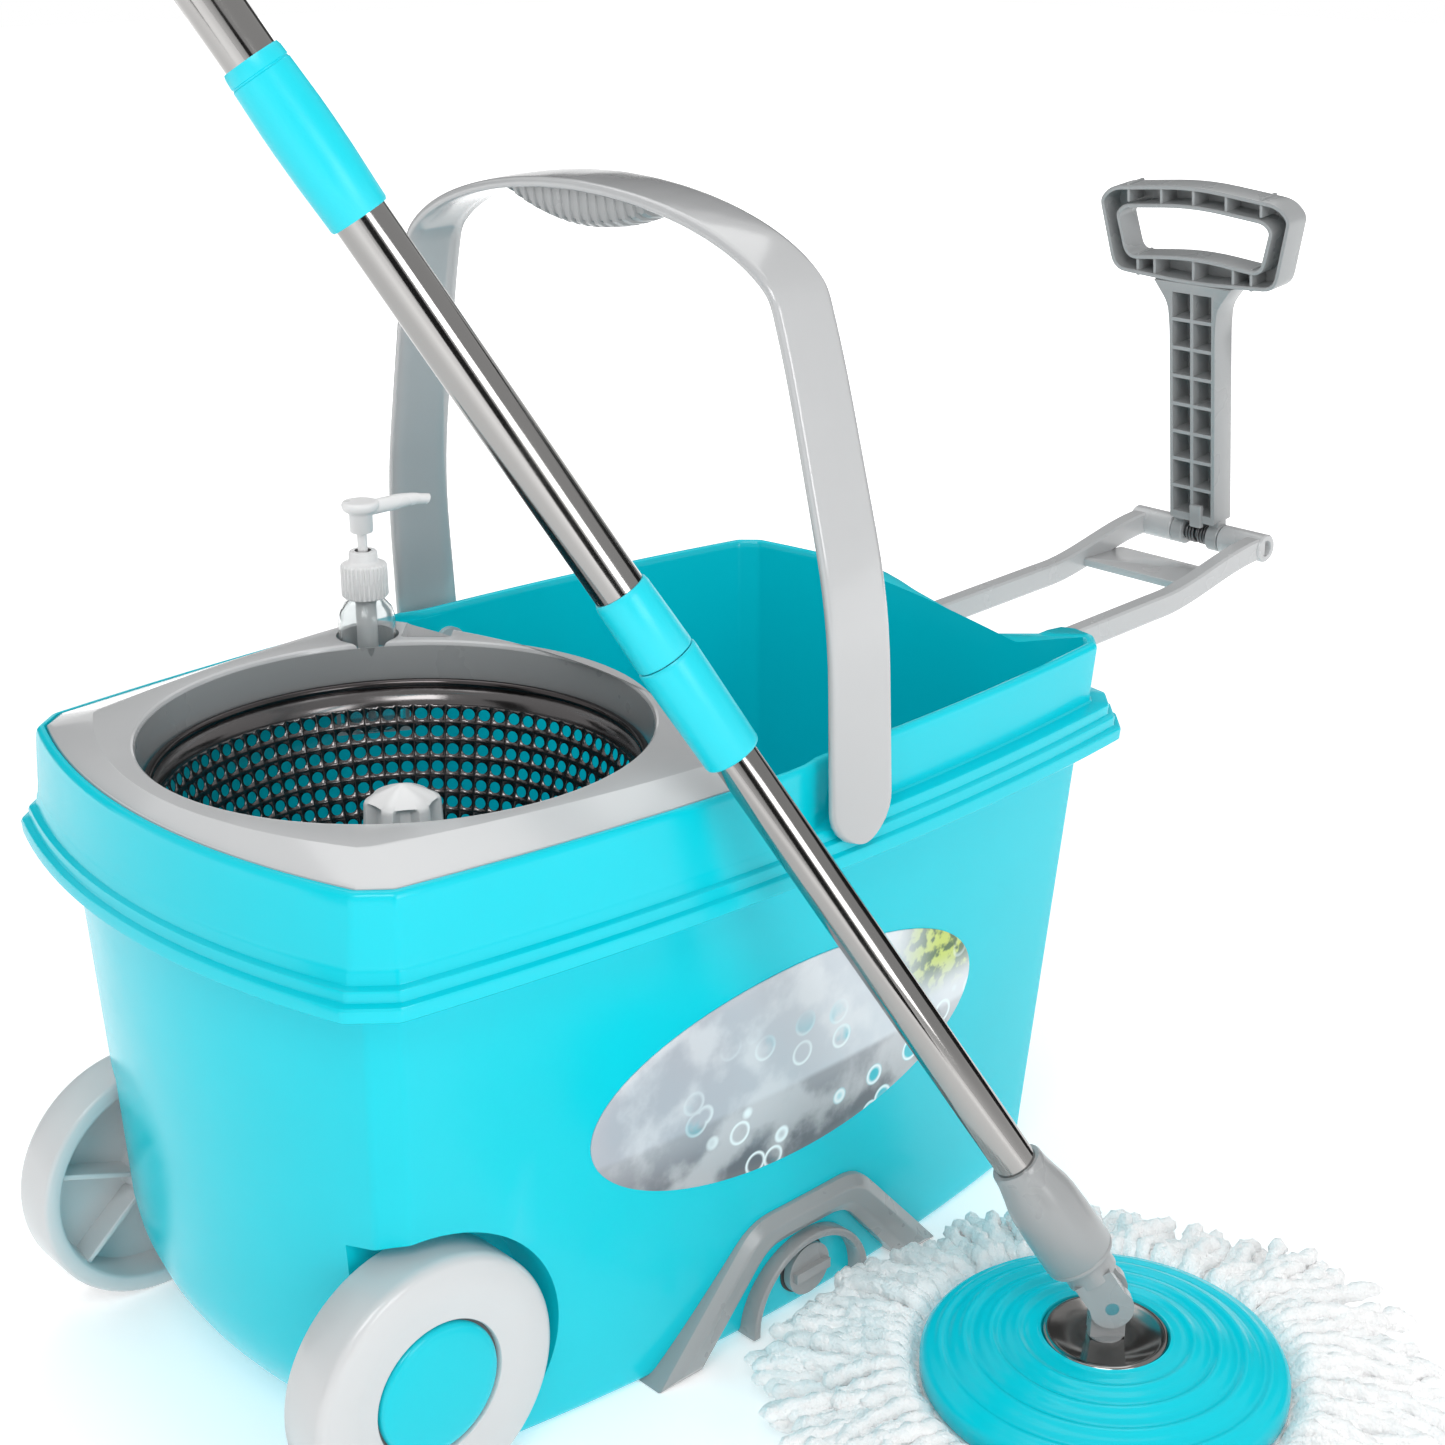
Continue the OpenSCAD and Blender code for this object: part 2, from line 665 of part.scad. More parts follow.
module pump_cylinder() {
    color(clear_white) in_bottle() difference() {
        union() {
            translate([0, 0, 288]) cylinder(r = 5, h = 38);
            translate([0, 0, 318]) cylinder(r = 7.9, h = 1.5);
        }
        translate([0, 0, 290]) cylinder(r = 3.8, h = 40);
        translate([0, 0, 280]) cylinder(r = 1.2, h = 20);
    }
}
module dip_tube() {
    color(clear_white) in_bottle() difference() {
        translate([0, 0, bottle_low + 3]) cylinder(r = 2, h = 288 - bottle_low - 3);
        translate([0, 0, bottle_low + 2]) cylinder(r = 1.2, h = 50);
    }
}
pump_top = 361;
nozzle_turn = -8;
module pump_head() {
    color("white") in_bottle() {
        difference() {
            translate([0, 0, 346]) cylinder(r = 5.5, h = pump_top - 346);
            translate([0, 0, 345]) cylinder(r = 2.4, h = 7);
        }
        translate([0, 0, pump_top - 5]) cylinder(r1 = 8, r2 = 9, h = 5);
        rotate([0, 0, nozzle_turn]) {
            translate([0, 0, pump_top - 4.4]) rotate([0, 87, 0]) cylinder(r = 3.4, h = 31);
            translate([30.3, 0, pump_top - 2.8]) rotate([0, 115, 0]) cylinder(r = 2.8, h = 6);
        }
    }
}
module pump_stem() {
    color("white") in_bottle() {
        translate([0, 0, 306]) cylinder(r = 2.4, h = 46);
        translate([0, 0, 306]) cylinder(r = 3.4, h = 5);
    }
}
module pump_spring() {
    color(steel) in_bottle() for (k = [0:6])
        translate([0, 0, 291 + 2.1 * k]) rotate_extrude() translate([2.6, 0]) circle(r = 0.5, $fn = 16);
}

// Mop head on the floor beside the bucket
mop_x = 50;
mop_y = -273.5;
plate_top = 46;
pin_z = 64;
pad_edge_y = -137;                      // the strands bunch up short of the bucket's side
module in_mop() {
    translate([mop_x, mop_y, 0]) children();
}
module mop_pad() {
    color("white") difference() {
        in_mop() rotate_extrude() polygon([
            [58, 0], [pad_r - 3, 0], [pad_r, 3], [pad_r - 2, 12], [pad_r - 40, 26],
            [88, 33.5], [82, 20], [58, 20]]);
        translate([mop_x - 200, pad_edge_y, -1]) cube([400, 100, 60]);
    }
}
module pad_ring() {
    color("white") in_mop() rotate_extrude() polygon([[58, 20.2], [80, 20.2], [80, 23], [60, 23], [60, 27], [58, 27]]);
}
function plate_rise(r) = plate_top - 14 * (r / plate_r) ^ 2.4;
module mop_plate() {
    color(turquoise) in_mop() rotate_extrude() polygon(concat(
        [[8, 36], [8, plate_top - 2.4], [27.6, plate_top - 2.4], [27.6, plate_top]],
        [for (r = [31:3:76]) [r, plate_rise(r) + 0.8 * cos(90 * (r - 31) / 3)]],
        [[plate_r - 1, 31], [plate_r, 28], [plate_r, 24], [plate_r - 3, 24],
         [plate_r - 4, 28.5], [66, 32], [57.5, 34], [57.5, 24], [54.5, 24], [54.5, 36]]));
}
module plate_disc() {
    color(steel) in_mop() difference() {
        translate([0, 0, plate_top - 2.4]) cylinder(r1 = 27.4, r2 = 26.4, h = 2.4);
        translate([0, 0, plate_top - 4]) cylinder(r = 8, h = 6);
    }
}

// Everything on the pole is drawn along +Z from the yoke's pin and turned to the pole's line
pole_heading = 138;
module on_pole() {
    translate([mop_x, mop_y, pin_z]) rotate([0, pole_lean, pole_heading]) children();
}
module pin_frame() {
    translate([mop_x, mop_y, pin_z]) rotate([0, 0, pole_heading]) children();
}
yoke_pin_r = 3;
lug_t = 9;
module plate_lug() {
    color(mid_grey) pin_frame() difference() {
        union() {
            translate([0, 0, 36 - pin_z]) cylinder(r = 7.9, h = plate_top - 36);
            translate([0, 0, 32 - pin_z]) cylinder(r = 14, h = 4);
            translate([-7.5, -lug_t / 2, plate_top - pin_z]) cube([15, lug_t, pin_z - plate_top]);
            translate([0, -lug_t / 2, 0]) rotate([-90, 0, 0]) cylinder(r = 7.5, h = lug_t);
        }
        translate([0, -20, 0]) rotate([-90, 0, 0]) cylinder(r = yoke_pin_r + fit, h = 40);
    }
}
ear_in = lug_t / 2 + 0.5;
ear_t = 5.5;
tube_wall = 0.8;
collar_low = 24;
module pole_yoke() {
    color(mid_grey) on_pole() difference() {
        union() {
            for (s = [0, 1]) mirror([0, s, 0]) {
                translate([0, ear_in, 0]) rotate([-90, 0, 0]) cylinder(r = 9.5, h = ear_t);
                translate([-8.5, ear_in, 0]) cube([17, ear_t, 17]);
            }
            translate([0, 0, 14]) cylinder(r = 11.5, h = 12);
            translate([0, 0, 25]) cylinder(r = lower_r - tube_wall, h = 30);
        }
        translate([0, -20, 0]) rotate([-90, 0, 0]) cylinder(r = yoke_pin_r, h = 40);
        translate([0, -ear_in - ear_t - 1, 0]) rotate([-90, 0, 0]) cylinder(r = 5, h = 3);
    }
}
module yoke_pin() {
    color(steel) on_pole() difference() {
        union() {
            translate([0, -ear_in - ear_t, 0]) rotate([-90, 0, 0])
                cylinder(r = yoke_pin_r, h = 2 * (ear_in + ear_t));
            translate([0, -ear_in - ear_t, 0]) rotate([-90, 0, 0]) cylinder(r = 4.8, h = 2);
        }
        for (a = [0, 90])
            translate([0, -ear_in - ear_t, 0]) rotate([0, a, 0]) cube([5, 2.4, 1.1], center = true);
    }
}
module collar_nut() {
    color(mid_grey) on_pole() difference() {
        union() {
            translate([0, 0, collar_low + 2]) cylinder(r1 = 15.6, r2 = 14.6, h = 34, $fn = 48);
            translate([0, 0, collar_low]) cylinder(r1 = 15, r2 = 15.8, h = 2);
            translate([0, 0, collar_low + 36]) cylinder(r1 = 14.6, r2 = 11.4, h = 14);
            translate([0, 0, collar_low + 50]) cylinder(r = 11.4, h = 5);
            for (k = [0:5]) rotate([0, 0, 60 * k]) translate([13.2, -2.2, collar_low + 8]) cube([2.6, 4.4, 26]);
        }
        translate([0, 0, collar_low - 1]) cylinder(r = 11.5, h = 3);
        translate([0, 0, collar_low]) cylinder(r = lower_r, h = 60);
    }
}

// Telescopic pole: the upper tubes slide down over the lower tube, and the spiral rod turns the nut
lower_top = 374;
module tube(r, low, high, thickness = tube_wall) {
    translate([0, 0, low]) difference() {
        cylinder(r = r, h = high - low);
        translate([0, 0, -1]) cylinder(r = r - thickness, h = high - low + 2);
    }
}
module lower_tube() {
    color(steel) on_pole() tube(lower_r, collar_low + 2, lower_top);
}
module clutch_housing() {
    color(clear_white) on_pole() difference() {
        union() {
            translate([0, 0, lower_top - 24]) cylinder(r = lower_r - tube_wall, h = 24);
            translate([0, 0, lower_top]) cylinder(r = lower_r, h = 6);
        }
        translate([0, 0, lower_top - 30]) cylinder(r = 5, h = 40);
        translate([0, 0, lower_top - 12]) cylinder(r = 7.2, h = 10);
    }
}
rod_lead = 90;
rod_low = 216;
rod_high = 572;
nut_low = lower_top - 11.6;
module rod_section(out) {
    square([8 + 2 * out, 2.6 + 2 * out], center = true);
}
module spiral_rod() {
    turns = (rod_high - rod_low) / rod_lead;
    color(steel) on_pole() translate([0, 0, rod_low])
        linear_extrude(rod_high - rod_low, twist = -360 * turns, slices = 96, $fn = 8) rod_section(0);
}
module drive_nut() {
    nut_h = 9;
    start = 360 * (nut_low - 1 - rod_low) / rod_lead;
    color("white") on_pole() difference() {
        translate([0, 0, nut_low]) cylinder(r = 7.2 - fit, h = nut_h);
        translate([0, 0, nut_low - 1]) rotate([0, 0, start])
            linear_extrude(nut_h + 2, twist = -360 * (nut_h + 2) / rod_lead, slices = 8, $fn = 8) rod_section(0.5);
    }
}

sleeve_low = 299;
sleeve_step = 347;
sleeve_top = 379;
tube_low = 350;
joint_low = 546;
joint_mid = 586;                        // the lower tube ends here inside the sleeve
joint_top = 611;
module upper_tube() {
    color(steel) on_pole() tube(upper_r, tube_low, joint_mid);
}
module lock_sleeve() {
    color(turquoise) on_pole() difference() {
        union() {
            translate([0, 0, sleeve_step - 8]) cylinder(r = 10.6, h = 9);
            translate([0, 0, sleeve_step + gap]) cylinder(r1 = 12.3, r2 = 11.4, h = sleeve_top - sleeve_step - gap);
        }
        translate([0, 0, sleeve_step - 20]) cylinder(r = lower_r + gap, h = 60);
        translate([0, 0, tube_low]) cylinder(r = upper_r, h = 60);
    }
}
module lock_collar() {
    color(turquoise) on_pole() difference() {
        translate([0, 0, sleeve_low]) cylinder(r1 = 12, r2 = 12.8, h = sleeve_step - sleeve_low);
        translate([0, 0, sleeve_low - 1]) cylinder(r = lower_r + gap, h = 60);
        translate([0, 0, sleeve_step - 8 - gap]) cylinder(r = 10.6 + fit, h = 20);
    }
}
module rod_anchor() {
    color(clear_white) on_pole() difference() {
        translate([0, 0, 560]) cylinder(r = upper_r - tube_wall, h = 20);
        translate([0, 0, 559]) intersection() {
            rotate([0, 0, 360 * (559 - rod_low) / rod_lead])
                linear_extrude(14, twist = -360 * 14 / rod_lead, slices = 6, $fn = 8) rod_section(0);
            cylinder(r = 6, h = 14);
        }
    }
}
module joint_sleeve() {
    color(turquoise) on_pole() difference() {
        rotate_extrude() polygon([
            [0, joint_low], [11.6, joint_low], [12.6, joint_low + 20], [12.6, joint_top - 20],
            [11.6, joint_top], [0, joint_top]]);
        translate([0, 0, joint_low - 1]) cylinder(r = upper_r, h = joint_mid - joint_low + 1);
        translate([0, 0, joint_mid - 1]) cylinder(r = 7, h = 16);
        translate([0, 0, joint_mid + 13]) cylinder(r = upper_r, h = joint_top - joint_mid);
    }
}
module thread_stud() {
    color("white") on_pole() {
        translate([0, 0, 585]) cylinder(r = 5.6, h = 16);
        for (k = [0:3]) translate([0, 0, 586 + 3.4 * k]) cylinder(r1 = 5.6, r2 = 7, h = 1.2);
        for (k = [0:3]) translate([0, 0, 587.2 + 3.4 * k]) cylinder(r1 = 7, r2 = 5.6, h = 1.2);
        translate([0, 0, 601]) cylinder(r = upper_r - tube_wall, h = 22);
    }
}
module top_tube() {
    color(steel) on_pole() tube(upper_r, joint_mid + 15, joint_top + top_len - 12);
}
grip_len = 78;
module grip() {
    top = joint_top + top_len;
    color(turquoise) on_pole() difference() {
        rotate_extrude() polygon([
            [0, top - grip_len], [11.6, top - grip_len], [12, top - grip_len + 3], [12.6, top - 40],
            [12, top - 4], [11, top - 2], [0, top - 2]]);
        translate([0, 0, top - grip_len - 1]) cylinder(r = upper_r, h = grip_len - 5);
        translate([0, 0, top - 8]) cylinder(r = 7, h = 10);
    }
}
module grip_cap() {
    top = joint_top + top_len;
    color(turquoise) on_pole() {
        translate([0, 0, top - 6]) cylinder(r = 7, h = 4);
        translate([0, 0, top - 2]) cylinder(r1 = 10.8, r2 = 9, h = 2);
    }
}

bucket_shell();
wringer_deck();
side_trims();
drain_shroud();
drain_seal();
side_label();
spindle_post();
spindle_pin();
thrust_washer();
stub_axles();
axle_clips();
bail_pins();
fork_brackets();
fork_pins();
bottle_cradle();
basket();
basket_hub();
hub_bushing();
hub_rivets();
drain_cap();
wheel_near();
cap_near();
wheel_far();
cap_far();
bail_handle();
bail_grip();
pull_fork();
hinge_pin();
t_handle();
handle_springs();
soap_bottle();
bottle_closure();
pump_cylinder();
dip_tube();
pump_head();
pump_stem();
pump_spring();
mop_pad();
pad_ring();
mop_plate();
plate_disc();
plate_lug();
pole_yoke();
yoke_pin();
collar_nut();
lower_tube();
clutch_housing();
drive_nut();
upper_tube();
lock_sleeve();
lock_collar();
spiral_rod();
rod_anchor();
joint_sleeve();
thread_stud();
top_tube();
grip();
grip_cap();
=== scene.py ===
"""Looks of the spin mop set: detailed pieces, materials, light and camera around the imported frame.

Sizes are in millimetres, as in the CAD design. They become metres when a mesh is made.
"""

import math
import random

import bmesh
import bpy
import numpy as np
from mathutils import Matrix, Vector


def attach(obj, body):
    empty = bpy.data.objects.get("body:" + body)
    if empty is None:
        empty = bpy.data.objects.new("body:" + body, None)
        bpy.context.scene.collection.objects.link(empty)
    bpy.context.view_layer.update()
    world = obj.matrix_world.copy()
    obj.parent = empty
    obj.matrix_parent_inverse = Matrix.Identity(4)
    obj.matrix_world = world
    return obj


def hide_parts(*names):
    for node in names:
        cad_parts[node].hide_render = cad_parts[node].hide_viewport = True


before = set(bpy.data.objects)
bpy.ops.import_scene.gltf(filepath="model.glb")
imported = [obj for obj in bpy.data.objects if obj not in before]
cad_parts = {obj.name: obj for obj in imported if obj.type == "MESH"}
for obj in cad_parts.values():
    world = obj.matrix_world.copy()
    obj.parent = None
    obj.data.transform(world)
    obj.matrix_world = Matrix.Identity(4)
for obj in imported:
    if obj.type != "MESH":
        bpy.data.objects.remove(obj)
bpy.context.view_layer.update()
MM = 0.001

# ---------------------------------------------------------------- driving dimensions, as in the CAD

RIM_H = 288
WALL = 2.6
BASE_W = 105
SIDE_FLARE = 19
FRONT_LOW = 203
FRONT_FLARE = 9
REAR_LOW = 198
REAR_FLARE = 18
SIDE_BOW = 17
FRONT_BOW = 25
REAR_BOW = 12
BASE_ROUND = 6
CORNER_R = 13
SPOUT_DIP = 21
SPOUT_Y = -50
STEP_X = -4
DECK_TOP = 295
SHELF_Z = 284
DECK_ARC = 282
DECK_REAR = 5
OPENING_X = -113
OPENING_R = 111
AXLE_X = -195
WHEEL_R = 59
WHEEL_IN = 98
WHEEL_W = 27
ARCH_GAP = 7
SIDE_FACE = 132
DRAIN_X = 14
DRAIN_Z = 23
BAIL_X = 15
BAIL_Z = 268
BAIL_REACH = 154.5
BAIL_WIDTH = 18.5
BAIL_LEAN = -2.3
FORK_X = 254
FORK_Z = 246
HINGE_X = 473
HINGE_Z = 266.5
HANDLE_LEAN = 6.9
HANDLE_LEN = 208
BOTTLE = (-53, 109)
MOP = (50, -273.5)
PIN_Z = 64
POLE_LEAN = 32.8
POLE_HEADING = 138
PLATE_R = 80
PLATE_TOP = 46
PAD_EDGE_Y = -137


# ---------------------------------------------------------------- materials


def linear(red, green, blue):
    """A display colour as scene-linear RGBA."""
    return (*((c / 255) ** 2.2 for c in (red, green, blue)), 1.0)


def set_inputs(node, values):
    for name, value in values.items():
        node.inputs[name].default_value = value


def carried(tree, source, start, end, low=0.0, high=1.0, curve="LINEAR"):
    """The source's value carried over from the range start to end to the range low to high."""
    change = tree.nodes.new("ShaderNodeMapRange")
    change.interpolation_type = curve
    set_inputs(change, {"From Min": start, "From Max": end, "To Min": low, "To Max": high})
    tree.links.new(source, change.inputs["Value"])
    return change.outputs["Result"]


def clouds(tree, place, scale, detail):
    texture = tree.nodes.new("ShaderNodeTexNoise")
    set_inputs(texture, {"Scale": scale, "Detail": detail})
    tree.links.new(place, texture.inputs["Vector"])
    return texture.outputs["Fac"]


def mixed(tree, share, first, second):
    """A colour between two others, each given as a colour or as another node's output."""
    mix = tree.nodes.new("ShaderNodeMix")
    mix.data_type = "RGBA"
    tree.links.new(share, mix.inputs[0])
    for socket, value in ((mix.inputs[6], first), (mix.inputs[7], second)):
        if isinstance(value, tuple):
            socket.default_value = value
        else:
            tree.links.new(value, socket)
    return mix.outputs[2]


def surface(name, colour, rough, metal=0.0, drift=0.05, gloss_drift=0.05, grain=0.05, grain_size=0.7,
            stretch=(1, 1, 1), wear=0.12, coat=0.0, shine=0.5, painted_glow=0.0):
    """A worn, slightly uneven surface: colour and gloss drift, edges are paler and duller, and a fine
    grain of grain_size millimetres lies over it. The glow is painted light: an emission in the surface's own
    colour that lifts its shaded sides, in place of the light that a thin wall lets through."""
    material = bpy.data.materials.new(name)
    material.use_nodes = True
    tree = material.node_tree
    bsdf = tree.nodes["Principled BSDF"]
    mapping = tree.nodes.new("ShaderNodeMapping")
    mapping.inputs["Scale"].default_value = stretch
    tree.links.new(tree.nodes.new("ShaderNodeTexCoord").outputs["Object"], mapping.inputs["Vector"])
    place = mapping.outputs["Vector"]

    darker = (*(c * (1 - drift) for c in colour[:3]), 1)
    lighter = (*(min(1, c * (1 + drift)) for c in colour[:3]), 1)
    pale = (*(c + (1 - c) * 0.5 for c in colour[:3]), 1)
    shades = mixed(tree, carried(tree, clouds(tree, place, 14, 4), 0.3, 0.7), darker, lighter)
    pointed = tree.nodes.new("ShaderNodeNewGeometry").outputs["Pointiness"]
    worn = mixed(tree, carried(tree, pointed, 0.52, 0.62, 0, wear), shades, pale)
    tree.links.new(worn, bsdf.inputs["Base Color"])
    gloss = carried(tree, clouds(tree, place, 35, 3), 0.3, 0.7, rough - gloss_drift / 2, rough + gloss_drift)
    tree.links.new(gloss, bsdf.inputs["Roughness"])

    bump = tree.nodes.new("ShaderNodeBump")
    set_inputs(bump, {"Strength": grain, "Distance": 0.0002})
    tree.links.new(clouds(tree, place, 1000 / grain_size, 2), bump.inputs["Height"])
    tree.links.new(bump.outputs["Normal"], bsdf.inputs["Normal"])
    # The emission in the surface's own colour is painted light: a glow that lifts the shade.
    set_inputs(bsdf, {"Metallic": metal, "Specular IOR Level": shine, "Emission Color": colour,
                      "Emission Strength": painted_glow, "Coat Weight": coat, "Coat Roughness": 0.12})
    return material


def clear_plastic(name, tint):
    """Clear moulded plastic with faint smears."""
    material = surface(name, tint, 0.06, gloss_drift=0.03, grain=0.02, wear=0.0)
    set_inputs(material.node_tree.nodes["Principled BSDF"], {"Transmission Weight": 0.92, "IOR": 1.45})
    return material


# The turquoise glows faintly in its own colour: painted light that lifts its shaded walls.
TURQUOISE = surface("turquoise_plastic", linear(0, 194, 210), 0.22, drift=0.02, wear=0.03, coat=0.15,
                    shine=0.25, painted_glow=0.08)
TURQUOISE_GRIP = surface("turquoise_grip", linear(8, 200, 216), 0.34, drift=0.02, grain=0.12, grain_size=1.2,
                         wear=0.05)
LIGHT_GREY = surface("light_grey_plastic", linear(196, 197, 198), 0.2, drift=0.012, wear=0.06, coat=0.8)
FORK_GREY = surface("fork_grey_plastic", linear(178, 179, 180), 0.24, drift=0.012, wear=0.06, coat=0.4)
BAIL_GREY = surface("bail_grey_plastic", linear(176, 177, 178), 0.16, drift=0.012, wear=0.06, coat=0.9)
TREAD_GREY = surface("wheel_plastic", linear(204, 205, 206), 0.3, drift=0.015, wear=0.06, grain=0.08,
                     coat=0.4)
MID_GREY = surface("mid_grey_plastic", linear(150, 152, 153), 0.28, drift=0.02, wear=0.08, coat=0.3)
WHITE = surface("white_plastic", linear(236, 236, 236), 0.28, drift=0.01, wear=0.03)
TAN = surface("bearing_nylon", linear(205, 188, 152), 0.45)
# The chrome's base colour is dimmer than bright chrome: painted shade for the dark surroundings it reflects.
CHROME = surface("chrome", linear(138, 136, 134), 0.09, metal=1.0, drift=0.08, gloss_drift=0.06,
                 grain=0.015, stretch=(1, 1, 0.12), wear=0.3)
# The basket steel has a dark base colour: painted shade for the dark surroundings it reflects.
POLISHED = surface("polished_basket", linear(84, 80, 80), 0.16, metal=1.0, drift=0.1, gloss_drift=0.06,
                   grain=0.03, wear=0.3)
STEEL = surface("plain_steel", linear(176, 176, 178), 0.3, metal=1.0, grain=0.06)
SPRING = surface("spring_steel", linear(66, 66, 68), 0.34, metal=0.9, wear=0.4)
RUBBER = surface("seal_rubber", linear(38, 38, 40), 0.6, grain=0.2)
CLEAR = clear_plastic("clear_plastic", linear(246, 249, 250))
# A dark brownish grey for the bottom of the gap round each hub cap: painted shade.
GAP_SHADE = surface("painted_gap_shade", linear(84, 78, 78), 0.6)


# ---------------------------------------------------------------- mesh helpers


def mesh_object(name, verts, faces, material, body, angle=35):
    """A piece from points in millimetres, shaded smooth except at edges sharper than the angle."""
    data = bpy.data.meshes.new(name)
    data.from_pydata([tuple(p) for p in np.asarray(verts, float) * MM], [], faces)
    data.materials.append(material)
    obj = bpy.data.objects.new(name, data)
    bpy.context.scene.collection.objects.link(obj)
    tidy_mesh(obj, angle)
    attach(obj, body)
    return obj


def tidy_mesh(obj, angle=35):
    """Merges doubled points, turns all faces outward and shades the mesh."""
    work = bmesh.new()
    work.from_mesh(obj.data)
    bmesh.ops.remove_doubles(work, verts=work.verts, dist=2e-6)
    bmesh.ops.dissolve_degenerate(work, dist=1e-7, edges=work.edges)
    bmesh.ops.recalc_face_normals(work, faces=work.faces)
    work.to_mesh(obj.data)
    work.free()
    shade(obj, angle)


def shade(obj, angle=35):
    obj.data.polygons.foreach_set("use_smooth", [True] * len(obj.data.polygons))
    obj.data.set_sharp_from_angle(angle=math.radians(angle))


def loft(rings, first=False, last=False, closed=True):
    """Quads between rings of the same number of points. first and last cap the ends with one face."""
    count = len(rings[0])
    verts = np.concatenate([np.asarray(r, float) for r in rings])
    around = count if closed else count - 1
    faces = [
        (j * count + i, j * count + (i + 1) % count, (j + 1) * count + (i + 1) % count, (j + 1) * count + i)
        for j in range(len(rings) - 1)
        for i in range(around)
    ]
    if first:
        faces.append(tuple(reversed(range(count))))
    if last:
        faces.append(tuple((len(rings) - 1) * count + i for i in range(count)))
    return verts, faces


def solid(rings):
    """A closed solid through rings of the same number of points."""
    return loft(rings, first=True, last=True)


def joined(*parts):
    """Several (points, faces) as one."""
    verts, faces, start = [], [], 0
    for points, polygons in parts:
        verts.append(np.asarray(points, float))
        faces += [tuple(start + i for i in face) for face in polygons]
        start += len(points)
    return np.concatenate(verts), faces


def rounded(points, radius, steps=4, closed=True):
    """The outline with each corner replaced by a curve that starts radius away from it."""
    points = [np.asarray(p, float) for p in points]
    radii = radius if isinstance(radius, (list, tuple)) else [radius] * len(points)
    out = []
    for k, p in enumerate(points):
        if not closed and k in (0, len(points) - 1) or radii[k] == 0:
            out.append(p)
            continue
        before, after = points[k - 1] - p, points[(k + 1) % len(points)] - p
        a = p + before * min(0.5, radii[k] / np.linalg.norm(before))
        b = p + after * min(0.5, radii[k] / np.linalg.norm(after))
        out += [a * (1 - t) ** 2 + p * 2 * t * (1 - t) + b * t * t for t in np.linspace(0, 1, steps + 1)]
    apart = [np.linalg.norm(p - out[k - 1]) > 1e-6 or (k == 0 and not closed) for k, p in enumerate(out)]
    return np.array(out)[apart]


def circle_angles(count):
    return np.linspace(0, 2 * math.pi, count, endpoint=False)


def around_z(r, angles, z):
    """Points about the Z axis. The radius and the height are each one number or one for each angle."""
    return np.column_stack([r * np.cos(angles), r * np.sin(angles), np.full(len(angles), z)])


def at_level(points, z):
    """Points in the plane, put at one height."""
    return np.column_stack([points, np.full(len(points), float(z))])


def at_depth(points, y):
    """Points given in X and Z, put at one Y."""
    return np.column_stack([points[:, 0], np.full(len(points), float(y)), points[:, 1]])


def turned(profile, steps=72, closed=False):
    """Surface of revolution about Z from (radius, height) points. A closed profile makes a ring."""
    rings = [around_z(r, circle_angles(steps), z) for r, z in profile]
    if closed:
        rings.append(rings[0])
    return loft(rings)


def moved(part, matrix):
    points, faces = part
    rotation = np.array(matrix.to_3x3())
    return np.asarray(points) @ rotation.T + np.array(matrix.translation), faces


def extruded(outline, low, high, bevel=0.0, steps=2):
    """An outline in the plane pushed along Z, with its two rims rounded."""
    outline = np.asarray(outline, float)[:, :2]
    levels = [(low, bevel), (high, bevel)]
    if bevel:
        arc = [math.radians(90 * k / steps) for k in range(steps + 1)]
        levels = [(low + bevel * (1 - math.sin(a)), bevel * (1 - math.cos(a))) for a in reversed(arc)]
        levels += [(high - bevel * (1 - math.sin(a)), bevel * (1 - math.cos(a))) for a in arc]
    rings = [at_level(inset(outline, d), z) for z, d in levels]
    return solid(rings)


def inset(outline, distance):
    """The outline moved inward, for an outline that runs anticlockwise."""
    if not distance:
        return outline
    ahead = np.roll(outline, -1, 0) - outline
    behind = outline - np.roll(outline, 1, 0)

    def normal(v):
        return np.column_stack([-v[:, 1], v[:, 0]]) / np.maximum(1e-9, np.linalg.norm(v, axis=1))[:, None]

    mean = normal(ahead) + normal(behind)
    mean /= np.maximum(1e-9, (mean**2).sum(1) / 2)[:, None]
    return outline + mean * distance


def swept(path, section):
    """A section in the plane carried along a path, with its second axis kept as upright as it can be."""
    path = np.asarray(path, float)
    rings = []
    for k, p in enumerate(path):
        ahead = path[min(k + 1, len(path) - 1)] - path[max(k - 1, 0)]
        ahead /= np.linalg.norm(ahead)
        side = np.cross([0, 0, 1.0], ahead)
        side /= np.linalg.norm(side)
        up = np.cross(ahead, side)
        rings.append(np.array([p + side * s[0] + up * s[1] for s in section]))
    return solid(rings)


def frame_of(origin, *turns):
    """A matrix that moves to a point and then turns about the axes given as (degrees, axis)."""
    matrix = Matrix.Translation(origin)
    for degrees, axis in turns:
        matrix = matrix @ Matrix.Rotation(math.radians(degrees), 4, axis)
    return matrix


def with_bevel(obj, width, segments=2, angle=35, weight=False):
    """Rounded edges, width in millimetres."""
    bevel = obj.modifiers.new("rounded_edges", "BEVEL")
    bevel.width = width * MM
    bevel.segments = segments
    bevel.limit_method = "WEIGHT" if weight else "ANGLE"
    bevel.angle_limit = math.radians(angle)
    return obj


def cut(obj, cutters):
    """Cuts the pieces out of obj for good and removes them."""
    for cutter in cutters:
        step = obj.modifiers.new("cut", "BOOLEAN")
        step.object = cutter
        step.solver = "EXACT"
    bpy.context.view_layer.update()
    graph = bpy.context.evaluated_depsgraph_get()
    data = bpy.data.meshes.new_from_object(obj.evaluated_get(graph))
    obj.modifiers.clear()
    obj.data = data
    for cutter in cutters:
        bpy.data.objects.remove(cutter)
    return obj


